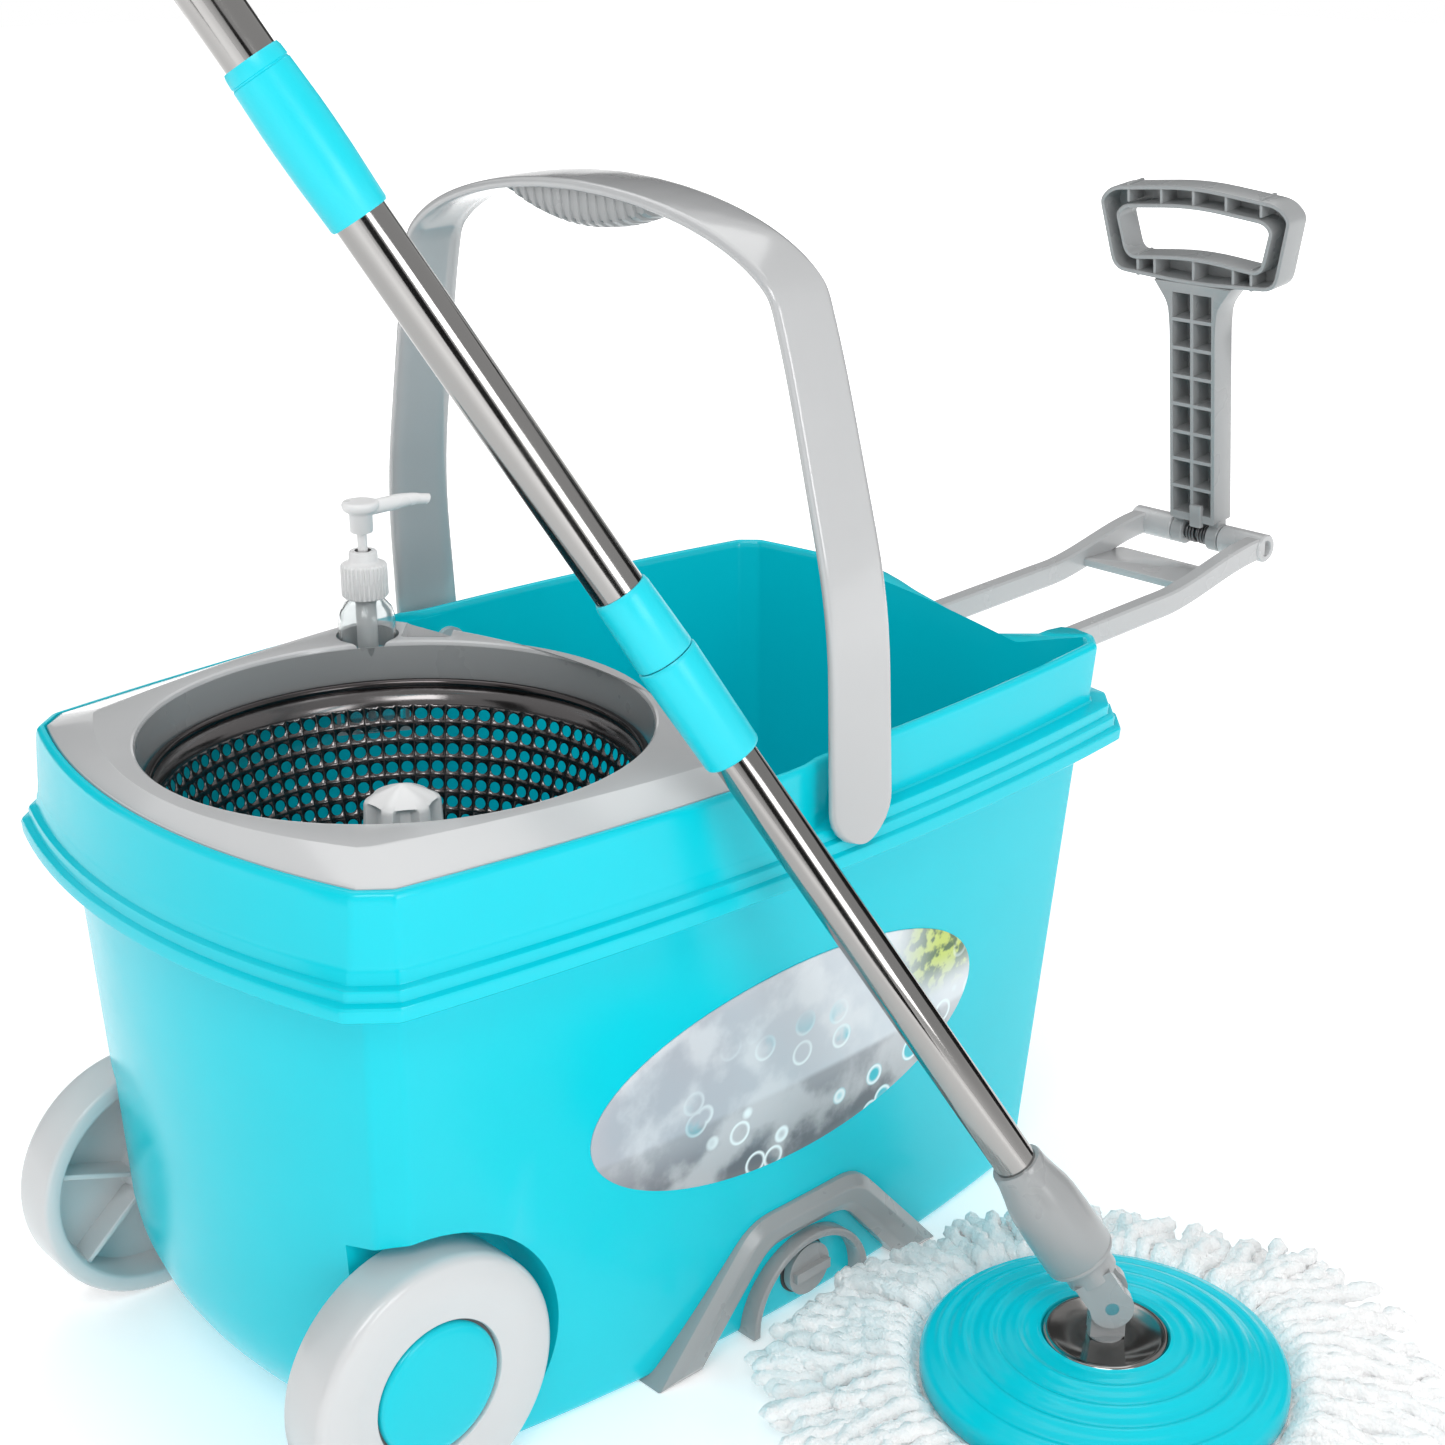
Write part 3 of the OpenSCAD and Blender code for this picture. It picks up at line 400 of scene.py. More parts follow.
def plain_solid(points, faces):
    """A solid used only to cut with."""
    data = bpy.data.meshes.new("cutter")
    data.from_pydata([tuple(p) for p in np.asarray(points, float) * MM], [], faces)
    obj = bpy.data.objects.new("cutter", data)
    bpy.context.scene.collection.objects.link(obj)
    tidy_mesh(obj)
    return obj


def lathe_piece(name, profile, matrix, material, body, steps=72, closed=False, angle=35):
    return mesh_object(name, *moved(turned(profile, steps, closed), matrix), material, body, angle)


# ---------------------------------------------------------------- the bucket's outline


def smooth(t):
    return t * t * (3 - 2 * t)


def tuck(z):
    """How far the outline draws in at the rounded edge of the base."""
    return BASE_ROUND - math.sqrt(BASE_ROUND**2 - (BASE_ROUND - z) ** 2) if z < BASE_ROUND else 0


def belly(z):
    """How far the front draws in toward the base."""
    return 34 * (1 - z / 60) ** 2 if z < 60 else 0


def bowed(points, half_l, half_w, front_bow, rear_bow, side_bow):
    """Bows the sides of a rectangle's points outward."""
    x, y = points[:, 0], points[:, 1]
    end_bow = np.where(x < 0, front_bow, rear_bow)
    return np.column_stack([
        x + np.sign(x) * end_bow * (abs(x) / half_l) * (1 - (y / half_w) ** 2),
        y + np.sign(y) * side_bow * (abs(y) / half_w) * (1 - (x / half_l) ** 2),
    ])


def chamfered(half_l, half_w, corner, soft=1.6, long_steps=40, end_steps=24):
    """A rectangle with a narrow chamfer at each corner, from +X round by +Y, with points along its sides."""
    c = corner
    corners = [(half_l, half_w - c), (half_l - c, half_w), (c - half_l, half_w), (-half_l, half_w - c),
               (-half_l, c - half_w), (c - half_l, -half_w), (half_l - c, -half_w), (half_l, c - half_w)]
    soft_points = rounded(corners, soft, 3)
    out = []
    for k in range(8):
        group = soft_points[4 * k:4 * k + 4]
        out += list(group)
        steps = (1, long_steps, 1, end_steps)[k % 4]
        p, q = group[3], soft_points[(4 * k + 4) % 32]
        out += [p + (q - p) * i / steps for i in range(1, steps)]
    return np.array(out)


def reaches(z):
    """How far the front, the rear and the sides are from the middle at a level, before rounding."""
    up = z / RIM_H
    return FRONT_LOW + FRONT_FLARE * up, REAR_LOW + REAR_FLARE * up, BASE_W + SIDE_FLARE * up


def outline(z, out):
    """The bucket's outline at a level, moved outward."""
    front, rear, half_w = (reach - tuck(z) + out for reach in reaches(z))
    front -= belly(z)
    half_l = (front + rear) / 2
    points = chamfered(half_l, half_w, 0.586 * (CORNER_R + out / 2))
    return bowed(points, half_l, half_w, FRONT_BOW, REAR_BOW, SIDE_BOW) + [(rear - front) / 2, 0]


def ring(z, out, rear_out=None, rear_z=None, dips=0.0):
    """One level of the shell. Behind the step it may have its own height and offset."""
    ahead = at_level(outline(z, out), z)
    if rear_out is None:
        return ahead
    rear_z = z if rear_z is None else rear_z
    behind = at_level(outline(rear_z, rear_out), rear_z)
    share = smooth(np.clip((ahead[:, 0] - STEP_X + 10) / 20, 0, 1))[:, None]
    points = ahead * (1 - share) + behind * share
    if dips:
        u = np.where(points[:, 1] > SPOUT_Y, (points[:, 1] - SPOUT_Y) / 100, (SPOUT_Y - points[:, 1]) / 56)
        depth = SPOUT_DIP * (0.5 + 0.5 * np.cos(math.pi * np.clip(u, 0, 1)))
        points[:, 2] -= np.where((points[:, 0] > 150) & (u < 1), depth, 0) * dips
    return points


def shell_rings():
    """Outside from the base to the rim, as (level, offset ahead of the step, offset behind it)."""
    lower = [0, 0.4, 1.5, 3, 4.5, 6, 11, 18, 26, 36, 48, 60, 80, 105, 130, 155, 180, 205, 225, 237.6]
    rings = [ring(z, 0) for z in lower]
    band = [(238.2, 1), (238.6, 14), (238.9, 15.2), (239.8, 16), (244.6, 16), (245.6, 15.5), (246, 14.4),
            (246.4, 13.2), (247.2, 12.9), (250, 12.9), (251, 12.5), (251.6, 11.4), (252, 10.2), (252.8, 9.9)]
    rings += [ring(z, out) for z, out in band]
    upper = [(256.4, 9.3, 9.9, 256.4), (257, 9.1, 9.6, 257.0), (257.6, 8.9, 8.4, 257.4),
             (258.2, 8.8, 3.2, 257.8), (258.8, 8.7, 2.3, 258.6), (262, 8.3, 2, 262)]
    rings += [ring(z, out, rear, rear_z) for z, out, rear, rear_z in upper]
    top = [(274, 7.2, 2, 0.6), (282, 6.4, 2, 0.9), (285, 6, 2, 1), (286.6, 5.5, 1.6, 1), (287.6, 4.8, 0.8, 1),
           (288, 4, 0, 1)]
    rings += [ring(z, out, rear, None, dips) for z, out, rear, dips in top]
    return rings


def cavity_rings():
    """Inside from the floor to above the rim."""
    rings = [ring(z, -WALL) for z in (4, 5, 7, 10, 18, 30, 45, 60, 90, 120, 150, 180, 210, 236)]
    rings += [ring(z, out, -WALL) for z, out in ((240, -0.5), (244, 0.8), (257, 0.8), (283.9, 0.8))]
    top = ((284, -WALL), (286.6, -WALL), (287.6, -2.1), (288, -1.2), (300, -1.2))
    rings += [ring(z, 2.9, rear) for z, rear in top]
    return rings


def across(outline_xz, near, far):
    """A solid along Y from an outline in X and Z."""
    points = np.asarray(outline_xz, float)
    return solid([at_depth(points, y) for y in (near, far)])


def well_outline(grow):
    """Outline of a wheel well in X and Z, open at the floor."""
    r = WHEEL_R + ARCH_GAP + grow
    turns = np.radians(np.linspace(180, -62, 60))
    arc = [(AXLE_X + r * math.cos(a), WHEEL_R + r * math.sin(a)) for a in turns]
    return arc + [(AXLE_X - 20, -3), (AXLE_X - r, -3)]


def wells(grow):
    """Both wheel wells as cutters."""
    parts = []
    for side in (-1, 1):
        near, far = side * (WHEEL_IN - 6 - grow), side * 190
        parts.append(plain_solid(*across(well_outline(grow), near, far)))
    return parts


def bucket():
    shell = mesh_object("tub_shell", *solid(shell_rings()), TURQUOISE, "bucket")
    cavity = plain_solid(*solid(cavity_rings()))
    cut(cavity, wells(WALL))
    drain = plain_solid(*moved(turned([(0, 60), (14, 60), (14, 160), (0, 160)], 32),
                               frame_of((DRAIN_X, 0, DRAIN_Z), (90, "X"))))
    cut(shell, [cavity, drain, *wells(0)])
    tidy_mesh(shell, 32)
    soften_arches(shell)
    with_bevel(shell, 3.2, 4, weight=True)
    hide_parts("bucket_shell")


def soften_arches(shell):
    """Marks the edges of both wheel arches for the bevel."""
    work = bmesh.new()
    work.from_mesh(shell.data)
    weights = work.edges.layers.float.new("bevel_weight_edge")
    for edge in work.edges:
        from_axle = [math.hypot(v.co.x / MM - AXLE_X, v.co.z / MM - WHEEL_R) for v in edge.verts]
        on_arch = all(abs(r - WHEEL_R - ARCH_GAP) < 0.4 for r in from_axle)
        outside = all(abs(v.co.y / MM) > WHEEL_IN - 1 for v in edge.verts)
        if on_arch and outside and len(edge.link_faces) == 2 and edge.calc_face_angle(0) > 0.6:
            edge[weights] = 1
    work.to_mesh(shell.data)
    work.free()


def box(low, high):
    """A plain box, as a part of a larger piece or a cutter."""
    (x0, y0, z0), (x1, y1, z1) = low, high
    base = [(x0, y0), (x1, y0), (x1, y1), (x0, y1)]
    return solid([[(x, y, z) for x, y in base] for z in (z0, z1)])


# ---------------------------------------------------------------- deck


def side_curve(x, l, w, bow, mid):
    return w + bow * (1 - ((x - mid) / l) ** 2)


def deck_ring(z, l, w, end_bow, bow, corner, mid, arc):
    """The deck's outline: near side, front, far side and the shallow arc behind, starting at the arc."""
    centre = DECK_REAR - DECK_ARC
    x = 0.0
    for _ in range(30):
        x = centre + math.sqrt(arc**2 - side_curve(x, l, w, bow, mid) ** 2)
    c = 0.586 * corner
    near = [(x + (mid - l + c - x) * t, 0) for t in np.linspace(0, 1, 34)]
    near = [(px, -side_curve(px, l, w, bow, mid)) for px, _ in near]
    front_y = np.linspace(c - w, w - c, 26)
    front = [(mid - l - end_bow * (1 - (y / w) ** 2), y) for y in front_y]
    far = [(px, -py) for px, py in reversed(near)]
    turn = math.asin(far[-1][1] / arc)
    rear = [(centre + arc * math.cos(a), arc * math.sin(a)) for a in np.linspace(turn, -turn, 36)[1:-1]]
    return at_level(np.array(near + front + far + rear), z)


def deck():
    plan = dict(l=216, w=126, end_bow=FRONT_BOW, bow=SIDE_BOW, corner=14, mid=2, arc=DECK_ARC)
    flat = dict(l=202, w=102, end_bow=31, bow=28, corner=4, mid=0, arc=DECK_ARC - 10)

    def shrunk(z, d):
        return deck_ring(z, **{**plan, "l": 216 - d, "w": 126 - d, "arc": DECK_ARC - d})

    def between(t, z):
        return shrunk(z, 0.7) * (1 - t) + deck_ring(z, **flat) * t

    top = deck_ring(DECK_TOP, **flat)
    middle = np.array([OPENING_X, 0.0])
    away = top[:, :2] - middle
    around = away / np.linalg.norm(away, axis=1)[:, None]

    def circle(r, z):
        return at_level(middle + around * r, z)

    rings = [shrunk(SHELF_Z + 0.3, 0), shrunk(287.3, 0), shrunk(287.9, 0.2), between(0, 288.2),
             between(0.06, 288.7), between(0.93, 294.55), between(0.98, 294.9), between(1.03, 295.0)]
    rings += [circle(r, z) for r, z in (
        (OPENING_R + 2.6, 295), (OPENING_R + 1.4, 294.8), (OPENING_R + 0.5, 294.1), (OPENING_R + 0.1, 293),
        (OPENING_R, 290), (OPENING_R, 280.2), (OPENING_R + 0.4, 279.3), (OPENING_R + 1.2, 279),
        (OPENING_R + 2.4, 279), (OPENING_R + 2.4, 284.3))]
    rings.append(rings[0])
    cover = mesh_object("deck_cover", *loft(rings), LIGHT_GREY, "bucket", 12)
    bottle_hole = moved(turned([(0, 0), (15, 0), (15, 40), (0, 40)], 48), frame_of((*BOTTLE, 270)))
    notch = moved(extruded(rounded([(-12, -12), (12, -12), (12, 12), (-12, 12)], 3), 0, 30),
                  frame_of((-27, 95, 287.2), (-44, "Z")))
    cut(cover, [plain_solid(*bottle_hole), plain_solid(*notch)])
    tidy_mesh(cover, 12)
    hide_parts("wringer_deck")

    liner = lathe_piece("deck_round_wall", [
        (OPENING_R - 0.1, 292.6), (OPENING_R - 0.3, 286), (OPENING_R - 0.4, 273), (OPENING_R, 271.6),
        (OPENING_R + 0.8, 271.4), (OPENING_R + 0.8, 292.6)],
        frame_of((OPENING_X, 0, 0)), MID_GREY, "bucket", 120, closed=True)


# ---------------------------------------------------------------- basket


def perforated(place, u_count, v_count, hole, u_size, v_size, sides=16):
    """Square cells with round holes. place(u, v) maps cell coordinates to space, for arrays."""
    angles = circle_angles(sides)
    ring_u, ring_v = hole / u_size * np.cos(angles), hole / v_size * np.sin(angles)
    reach = 0.5 / np.maximum(abs(np.cos(angles)), abs(np.sin(angles)))
    edge_u, edge_v = reach * np.cos(angles), reach * np.sin(angles)
    parts = []
    for i in range(u_count):
        for j in range(v_count):
            inner = place(i + 0.5 + ring_u, j + 0.5 + ring_v)
            outer = place(i + 0.5 + edge_u, j + 0.5 + edge_v)
            parts.append(loft([outer, inner]))
    return joined(*parts)


def basket():
    columns, rows = 84, 9
    low = np.array([86.4, 190.5])
    high = np.array([104.2, 265])

    def wall(u, v):
        angle = 2 * math.pi * np.asarray(u) / columns
        t = np.asarray(v) / rows
        r, z = low[0] + (high[0] - low[0]) * t, low[1] + (high[1] - low[1]) * t
        return around_z(r, angle, z)

    def floor_ring(r0, r1, count):
        def place(u, v):
            angle = 2 * math.pi * np.asarray(u) / count
            r = r0 + (r1 - r0) * np.asarray(v)
            return around_z(r, angle, 184.4)
        return perforated(place, count, 1, 2.7, 2 * math.pi * (r0 + r1) / 2 / count, r1 - r0)

    height = float(np.linalg.norm(high - low)) / rows
    holes = perforated(wall, columns, rows, 2.75, 2 * math.pi * 95 / columns, height)
    floors = [floor_ring(r, r + 8, round(2 * math.pi * (r + 4) / 8)) for r in (38, 46, 54, 62, 70)]
    plain = [turned([(86.4, 190.5), (85.6, 187.4), (84, 185.4), (81.5, 184.5), (78, 184.4)], 84),
             turned([(38, 184.4), (17, 184.4)], 84),
             turned([(104.2, 265), (106.2, 273.4)], 84)]
    drum = mesh_object("basket_drum", *moved(joined(holes, *floors, *plain), frame_of((OPENING_X, 0, 0))),
                       POLISHED, "spin_basket", 40)
    thick = drum.modifiers.new("sheet", "SOLIDIFY")
    thick.thickness = 0.7 * MM
    thick.offset = 0
    arc = [math.radians(a) for a in range(0, 360, 20)]
    wire = [(107.5 + 2.2 * math.cos(a), 275 + 2.2 * math.sin(a)) for a in arc]
    roll = lathe_piece("basket_rolled_rim", wire,
                       frame_of((OPENING_X, 0, 0)), POLISHED, "spin_basket", 120, closed=True)
    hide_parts("basket")


def hub():
    """White fluted crown with a low dome, on a cone that is riveted to the basket's floor."""
    centre = frame_of((OPENING_X, 0, 0))
    angles = circle_angles(144)
    flute = np.clip((np.cos(6 * angles) + 0.45) / 0.5, 0, 1)
    levels = [(214, 1.1, 1), (240, 1.03, 1), (257.4, 0.98, 1), (258.2, 0.97, 0.75), (258.8, 0.955, 0.3),
              (259.6, 0.93, 0), (261.4, 0.74, 0), (263.4, 0.48, 0), (265.2, 0.22, 0), (265.9, 0.06, 0)]
    rings = []
    for z, size, depth in levels:
        r = 16.4 * size * (1 + 0.06 * np.cos(6 * angles + math.pi)) - 4.2 * depth * flute * size
        rings.append(around_z(r, angles, z))
    crown = mesh_object("basket_crown", *moved(loft(rings, last=True), centre), WHITE, "spin_basket", 42)
    cone = lathe_piece("basket_cone", [
        (33, 184.9), (33, 187.4), (31.5, 188.8), (24, 190), (20.5, 194), (18.8, 206), (17.8, 216), (10, 216),
        (10, 184.9)], centre, WHITE, "spin_basket", 64, closed=True)
    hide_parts("basket_hub")


# ---------------------------------------------------------------- wheels


def wheel(name, node, cap_node, body, side):
    """A ribbed wheel and its hub cap. Side is -1 for the near wheel, whose outer face looks along -Y."""
    place = frame_of((AXLE_X, side * WHEEL_IN, WHEEL_R), (-90 * side, "X"))
    corner = 5
    tread = [(WHEEL_R - corner + corner * math.cos(a), WHEEL_W - corner + corner * math.sin(a))
             for a in np.radians(range(0, 91, 15))]
    profile = [(4.2, 2), (9.4, 2), (10, 2.6), (11.8, 16), (13, 17), (46.6, 17), (48, 16.2), (50.2, 1.6),
               (51, 0.6), (52, 0.2), (57, 0.2), (58.3, 0.8), (59, 2)]
    profile += tread
    profile += [(50, 27.3), (41, 27.3), (40.2, 27), (32.4, 26.6), (31.3, 26.3), (30.9, 25.6), (30.8, 22.4),
                (4.2, 22.4)]
    ring_piece = lathe_piece(name, profile, place, TREAD_GREY, body, 120, closed=True, angle=42)
    rib = box((9, -1.3, 4), (50, 1.3, 18))
    ribs = [moved(rib, place @ frame_of((0, 0, 0), (60 * k + 20, "Z"))) for k in range(6)]
    spokes = mesh_object(name + "_ribs", *joined(*ribs), TREAD_GREY, body)
    with_bevel(spokes, 0.6, 2)
    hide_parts(node)
    disc = lathe_piece(name + "_cap", [
        (0, 27.9), (16, 27.7), (25, 27.3), (27.6, 26.9), (28.8, 26.2), (29.4, 25), (29.4, 22.4), (0, 22.4)],
        place, TURQUOISE, body, 96)
    # A dark ring at the bottom of the gap between the cap and the wheel: painted shade in the gap.
    gap_shade_ring = lathe_piece(name + "_seat", [(29.2, 23.4), (31, 23.4), (31, 22.6), (29.2, 22.6)], place, GAP_SHADE,
                       body, 96, closed=True)
    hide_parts(cap_node)


# ---------------------------------------------------------------- low trims, drain and label


def wall_solid(grow):
    """The bucket's lower body as a cutter."""
    return plain_solid(*solid([ring(z, grow) for z in (0, 0.4, 1.5, 3, 6, 12, 20, 30, 45, 60, 90, 120)]))


def side_trims():
    """The grey arches, cut to the wall that they sit on."""
    corners = [(-80, 0), (-54, 0), (-12, 46), (38, 46), (78, 0), (104, 0), (47, 63), (-22, 63)]
    arch = rounded(corners, [0, 0, 9, 9, 0, 0, 12, 12], 5)
    levels = [(22, 0), (4.6, 0), (3.8, 0.25), (0.9, 4.4), (0.2, 5.2), (0, 6.2)]
    parts = []
    for side in (-1, 1):
        rings = []
        for depth, shrink in levels:
            shape = inset(arch, shrink).copy()
            shape[:, 1] = np.maximum(shape[:, 1], 0)
            rings.append(at_depth(shape, side * (SIDE_FACE - depth)))
        parts.append(solid(rings))
    trims = mesh_object("side_arches", *joined(*parts), MID_GREY, "bucket", 30)
    cut(trims, [wall_solid(0.1)])
    tidy_mesh(trims, 30)
    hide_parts("side_trims")


def drain_cover():
    """The curved band over the drain."""
    arc = np.radians(np.linspace(0, 180, 40))
    outer = [(DRAIN_X + 38 * math.cos(a), 5 + 38 * math.sin(a)) for a in arc]
    inner = [(DRAIN_X + 34 * math.cos(a), 5 + 34 * math.sin(a)) for a in arc[::-1]]
    outline_points = np.array([(DRAIN_X + 38, 2)] + outer + [(DRAIN_X - 38, 2), (DRAIN_X - 34, 2)] + inner
                              + [(DRAIN_X + 34, 2)])
    rings = [at_depth(inset(outline_points, shrink), depth - SIDE_FACE)
             for depth, shrink in ((20, 0), (1.4, 0), (0.5, 0.3), (0, 1.1))]
    shroud = mesh_object("drain_cover", *solid(rings), MID_GREY, "bucket", 30)
    cut(shroud, [wall_solid(0.1)])
    tidy_mesh(shroud, 30)
    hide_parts("drain_shroud")


def near_wall_y(x, z, out):
    """Y of the near wall at a place on the long side."""
    front, rear, half_w = (reach + out for reach in reaches(z))
    half_l, mid = (front + rear) / 2, (rear - front) / 2
    return -half_w - SIDE_BOW * (1 - ((x - mid) / half_l) ** 2)


def label():
    """The oval picture on the near side, which follows the wall."""
    rings = []
    for share, out in [(k / 14, 0.75) for k in range(0, 14)] + [(0.992, 0.75), (1, 0.5), (1, 0.05)]:
        points = []
        for a in circle_angles(96):
            x, z = 5 + 120 * share * math.cos(a), 140 + 50 * share * math.sin(a)
            points.append((x, near_wall_y(x, z, out), z))
        rings.append(points)
    oval = mesh_object("side_picture", *loft(rings), picture_print(), "bucket")
    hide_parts("side_label")


def picture_print():
    """A generic printed picture: pale sky over a grey floor, soft green, and bubbles."""
    material = surface("printed_label", linear(214, 218, 222), 0.3, coat=0.4, grain=0.02)
    tree = material.node_tree
    bsdf = tree.nodes["Principled BSDF"]
    place = tree.nodes.new("ShaderNodeTexCoord").outputs["Object"]
    split = tree.nodes.new("ShaderNodeSeparateXYZ")
    tree.links.new(place, split.inputs[0])

    def fade(source, start, end, low=0.0, high=1.0):
        return carried(tree, source, start, end, low, high, "SMOOTHSTEP")

    def both(first, second):
        product = tree.nodes.new("ShaderNodeMath")
        product.operation = "MULTIPLY"
        tree.links.new(first, product.inputs[0])
        tree.links.new(second, product.inputs[1])
        return product.outputs[0]

    x, z = split.outputs["X"], split.outputs["Z"]
    ground = mixed(tree, fade(z, 0.098, 0.128), linear(104, 106, 112), linear(158, 160, 166))
    wall = mixed(tree, fade(x, -0.1, 0.1), linear(172, 176, 184), linear(214, 220, 226))
    base = mixed(tree, fade(z, 0.126, 0.13), ground, wall)
    base = mixed(tree, fade(clouds(tree, place, 30, 5), 0.45, 0.62, 0, 0.45), base, linear(236, 238, 240))
    leaves = both(fade(x, 0.06, 0.1), fade(z, 0.135, 0.16))
    dapple = fade(clouds(tree, place, 160, 5), 0.42, 0.56)
    leaf = mixed(tree, dapple, linear(58, 96, 40), linear(190, 206, 90))
    base = mixed(tree, leaves, base, leaf)
    bubbles = tree.nodes.new("ShaderNodeTexVoronoi")
    bubbles.feature = "F1"
    bubbles.inputs["Scale"].default_value = 52
    tree.links.new(place, bubbles.inputs["Vector"])
    inside = fade(bubbles.outputs["Distance"], 0.36, 0.3)
    rim = both(inside, fade(bubbles.outputs["Distance"], 0.22, 0.3))
    low_part = both(fade(z, 0.17, 0.13), fade(x, -0.09, -0.02))
    filled = both(inside, both(low_part, fade(clouds(tree, place, 18, 5), 0.5, 0.56)))
    base = mixed(tree, filled, base, linear(40, 190, 206))
    base = mixed(tree, both(rim, low_part), base, linear(238, 250, 252))
    tree.links.new(base, bsdf.inputs["Base Color"])
    return material


# ---------------------------------------------------------------- bail


def bail_centre_line():
    """Centre of the strap in Y and Z from one pivot to the other."""
    arch = [(127.5 * math.cos(a), 200 + 46.5 * math.sin(a)) for a in np.radians(range(16, 90, 8))]
    corners = [(BAIL_REACH, 0), (BAIL_REACH, 85), (131.5, 184), *arch, (0, 246.5)]
    half = rounded(corners, [0, 30, 24] + [6] * len(arch) + [0], 6, closed=False)
    return np.concatenate([half, (half * [-1, 1])[::-1][1:]])


def strap_section(half_width, thick, crown, edge):
    """Cross section: across X, and outward along the second axis."""
    w, t = half_width, thick / 2
    face = [(x * w, t - crown * x * x) for x in (-0.8, -0.55, -0.28, 0, 0.28, 0.55, 0.8)]
    outer = [(-w, t - crown - edge), (-w + edge * 0.4, t - crown - edge * 0.4), (-w + edge, t - crown * 0.85)]
    back = [(w - 0.3, -t + 0.8), (w - 1, -t), (w * 0.5, -t), (0, -t)]
    back += [(-x, y) for x, y in reversed(back[:-1])]
    return [*outer, *face, *[(-x, y) for x, y in reversed(outer)], *back]


def bail():
    """The carrying strap with rounded ends at its pivots, and the ribbed grip below its top."""
    place = frame_of((BAIL_X, 0, BAIL_Z), (BAIL_LEAN, "Y"))
    line = bail_centre_line()
    end = [(BAIL_REACH, -BAIL_WIDTH * math.cos(a)) for a in np.radians((2, 8, 16, 26, 38, 52, 68, 80))]
    line = np.concatenate([end, line, [(-y, z) for y, z in reversed(end)]])
    path = np.column_stack([np.zeros(len(line)), line])
    rings = []
    for k, p in enumerate(path):
        ahead = path[min(k + 1, len(path) - 1)] - path[max(k - 1, 0)]
        ahead /= np.linalg.norm(ahead)
        out = np.cross(ahead, [1, 0, 0]) * -1
        if out @ np.array([0, p[1], p[2] - 60]) < 0:
            out = -out
        z = p[2]
        half_width = math.sqrt(max(0.3, BAIL_WIDTH**2 - min(0, z) ** 2)) - 2.5 * min(1, max(0, z) / 205)
        section = strap_section(half_width, 5, 0.9 * half_width / BAIL_WIDTH, min(1.7, half_width * 0.3))
        rings.append([p + np.array([1, 0, 0]) * s[0] + out * s[1] for s in section])
    strap = mesh_object("bail_strap", *moved(solid(rings), place), BAIL_GREY, "bail", 50)
    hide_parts("bail_handle")

    rings = []
    for y in np.arange(-51, 51.01, 0.5):
        ridge = 1.1 if 1.5 <= (y + 51) % 6 <= 4.0 else 0.0
        low = 345 - math.sqrt(117**2 - y * y) - ridge
        high = 200 + 44 * math.sqrt(1 - (y / 125) ** 2) - 0.2
        half = 12.6 + ridge * 0.6
        curve = [(-half, high), (-half, low + 7), (-half * 0.9, low + 3), (-half * 0.6, low + 0.9), (0, low),
                 (half * 0.6, low + 0.9), (half * 0.9, low + 3), (half, low + 7), (half, high)]
        rings.append([(x, y, min(z, high)) for x, z in curve])
    grip = mesh_object("bail_hand_grip", *moved(solid(rings), place), MID_GREY, "bail", 30)
    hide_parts("bail_grip")


# ---------------------------------------------------------------- pull fork and upright handle


def fork_centre(t):
    """Centre of a fork arm in X and Z, from the rear wall at 0 to the hinge at 1."""
    rise = 0.25 * t / 0.55 if t < 0.55 else 0.25 + 0.75 * smooth((t - 0.55) / 0.45)
    return FORK_X + (HINGE_X - FORK_X) * t, FORK_Z + (HINGE_Z - FORK_Z) * rise


def fork():
    parts = []
    half = [(-5, -5.3), (-3.8, -6.5), (3.8, -6.5), (5, -5.3), (5, 5.3), (3.8, 6.5), (-3.8, 6.5), (-5, 5.3)]
    for side in (-1, 1):
        path = [(x, side * 41, z) for x, z in (fork_centre(k / 30) for k in range(31))]
        parts.append(swept(path, half))
        eye = [(0, 36), (7, 36), (7.5, 36.6), (7.5, 45.4), (7, 46), (0, 46)]
        barrel = [(4.4, 17), (7.5, 17), (8.3, 17.8), (8.3, 46.2), (7.5, 47), (4.8, 47), (4.4, 46.4)]
        parts.append(moved(turned(eye, 40), frame_of((FORK_X, 0, FORK_Z), (-90 * side, "X"))))
        hinge = frame_of((HINGE_X, 0, HINGE_Z), (-90 * side, "X"))
        parts.append(moved(turned(barrel, 48, closed=True), hinge))
    web = rounded([(408, -38), (446, -38), (446, 38), (408, 38)], 3)
    parts.append(extruded(web, 251.2, 255.8, 0.9))
    arms = mesh_object("fork_arms", *joined(*parts), FORK_GREY, "fork", 40)
    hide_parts("pull_fork")


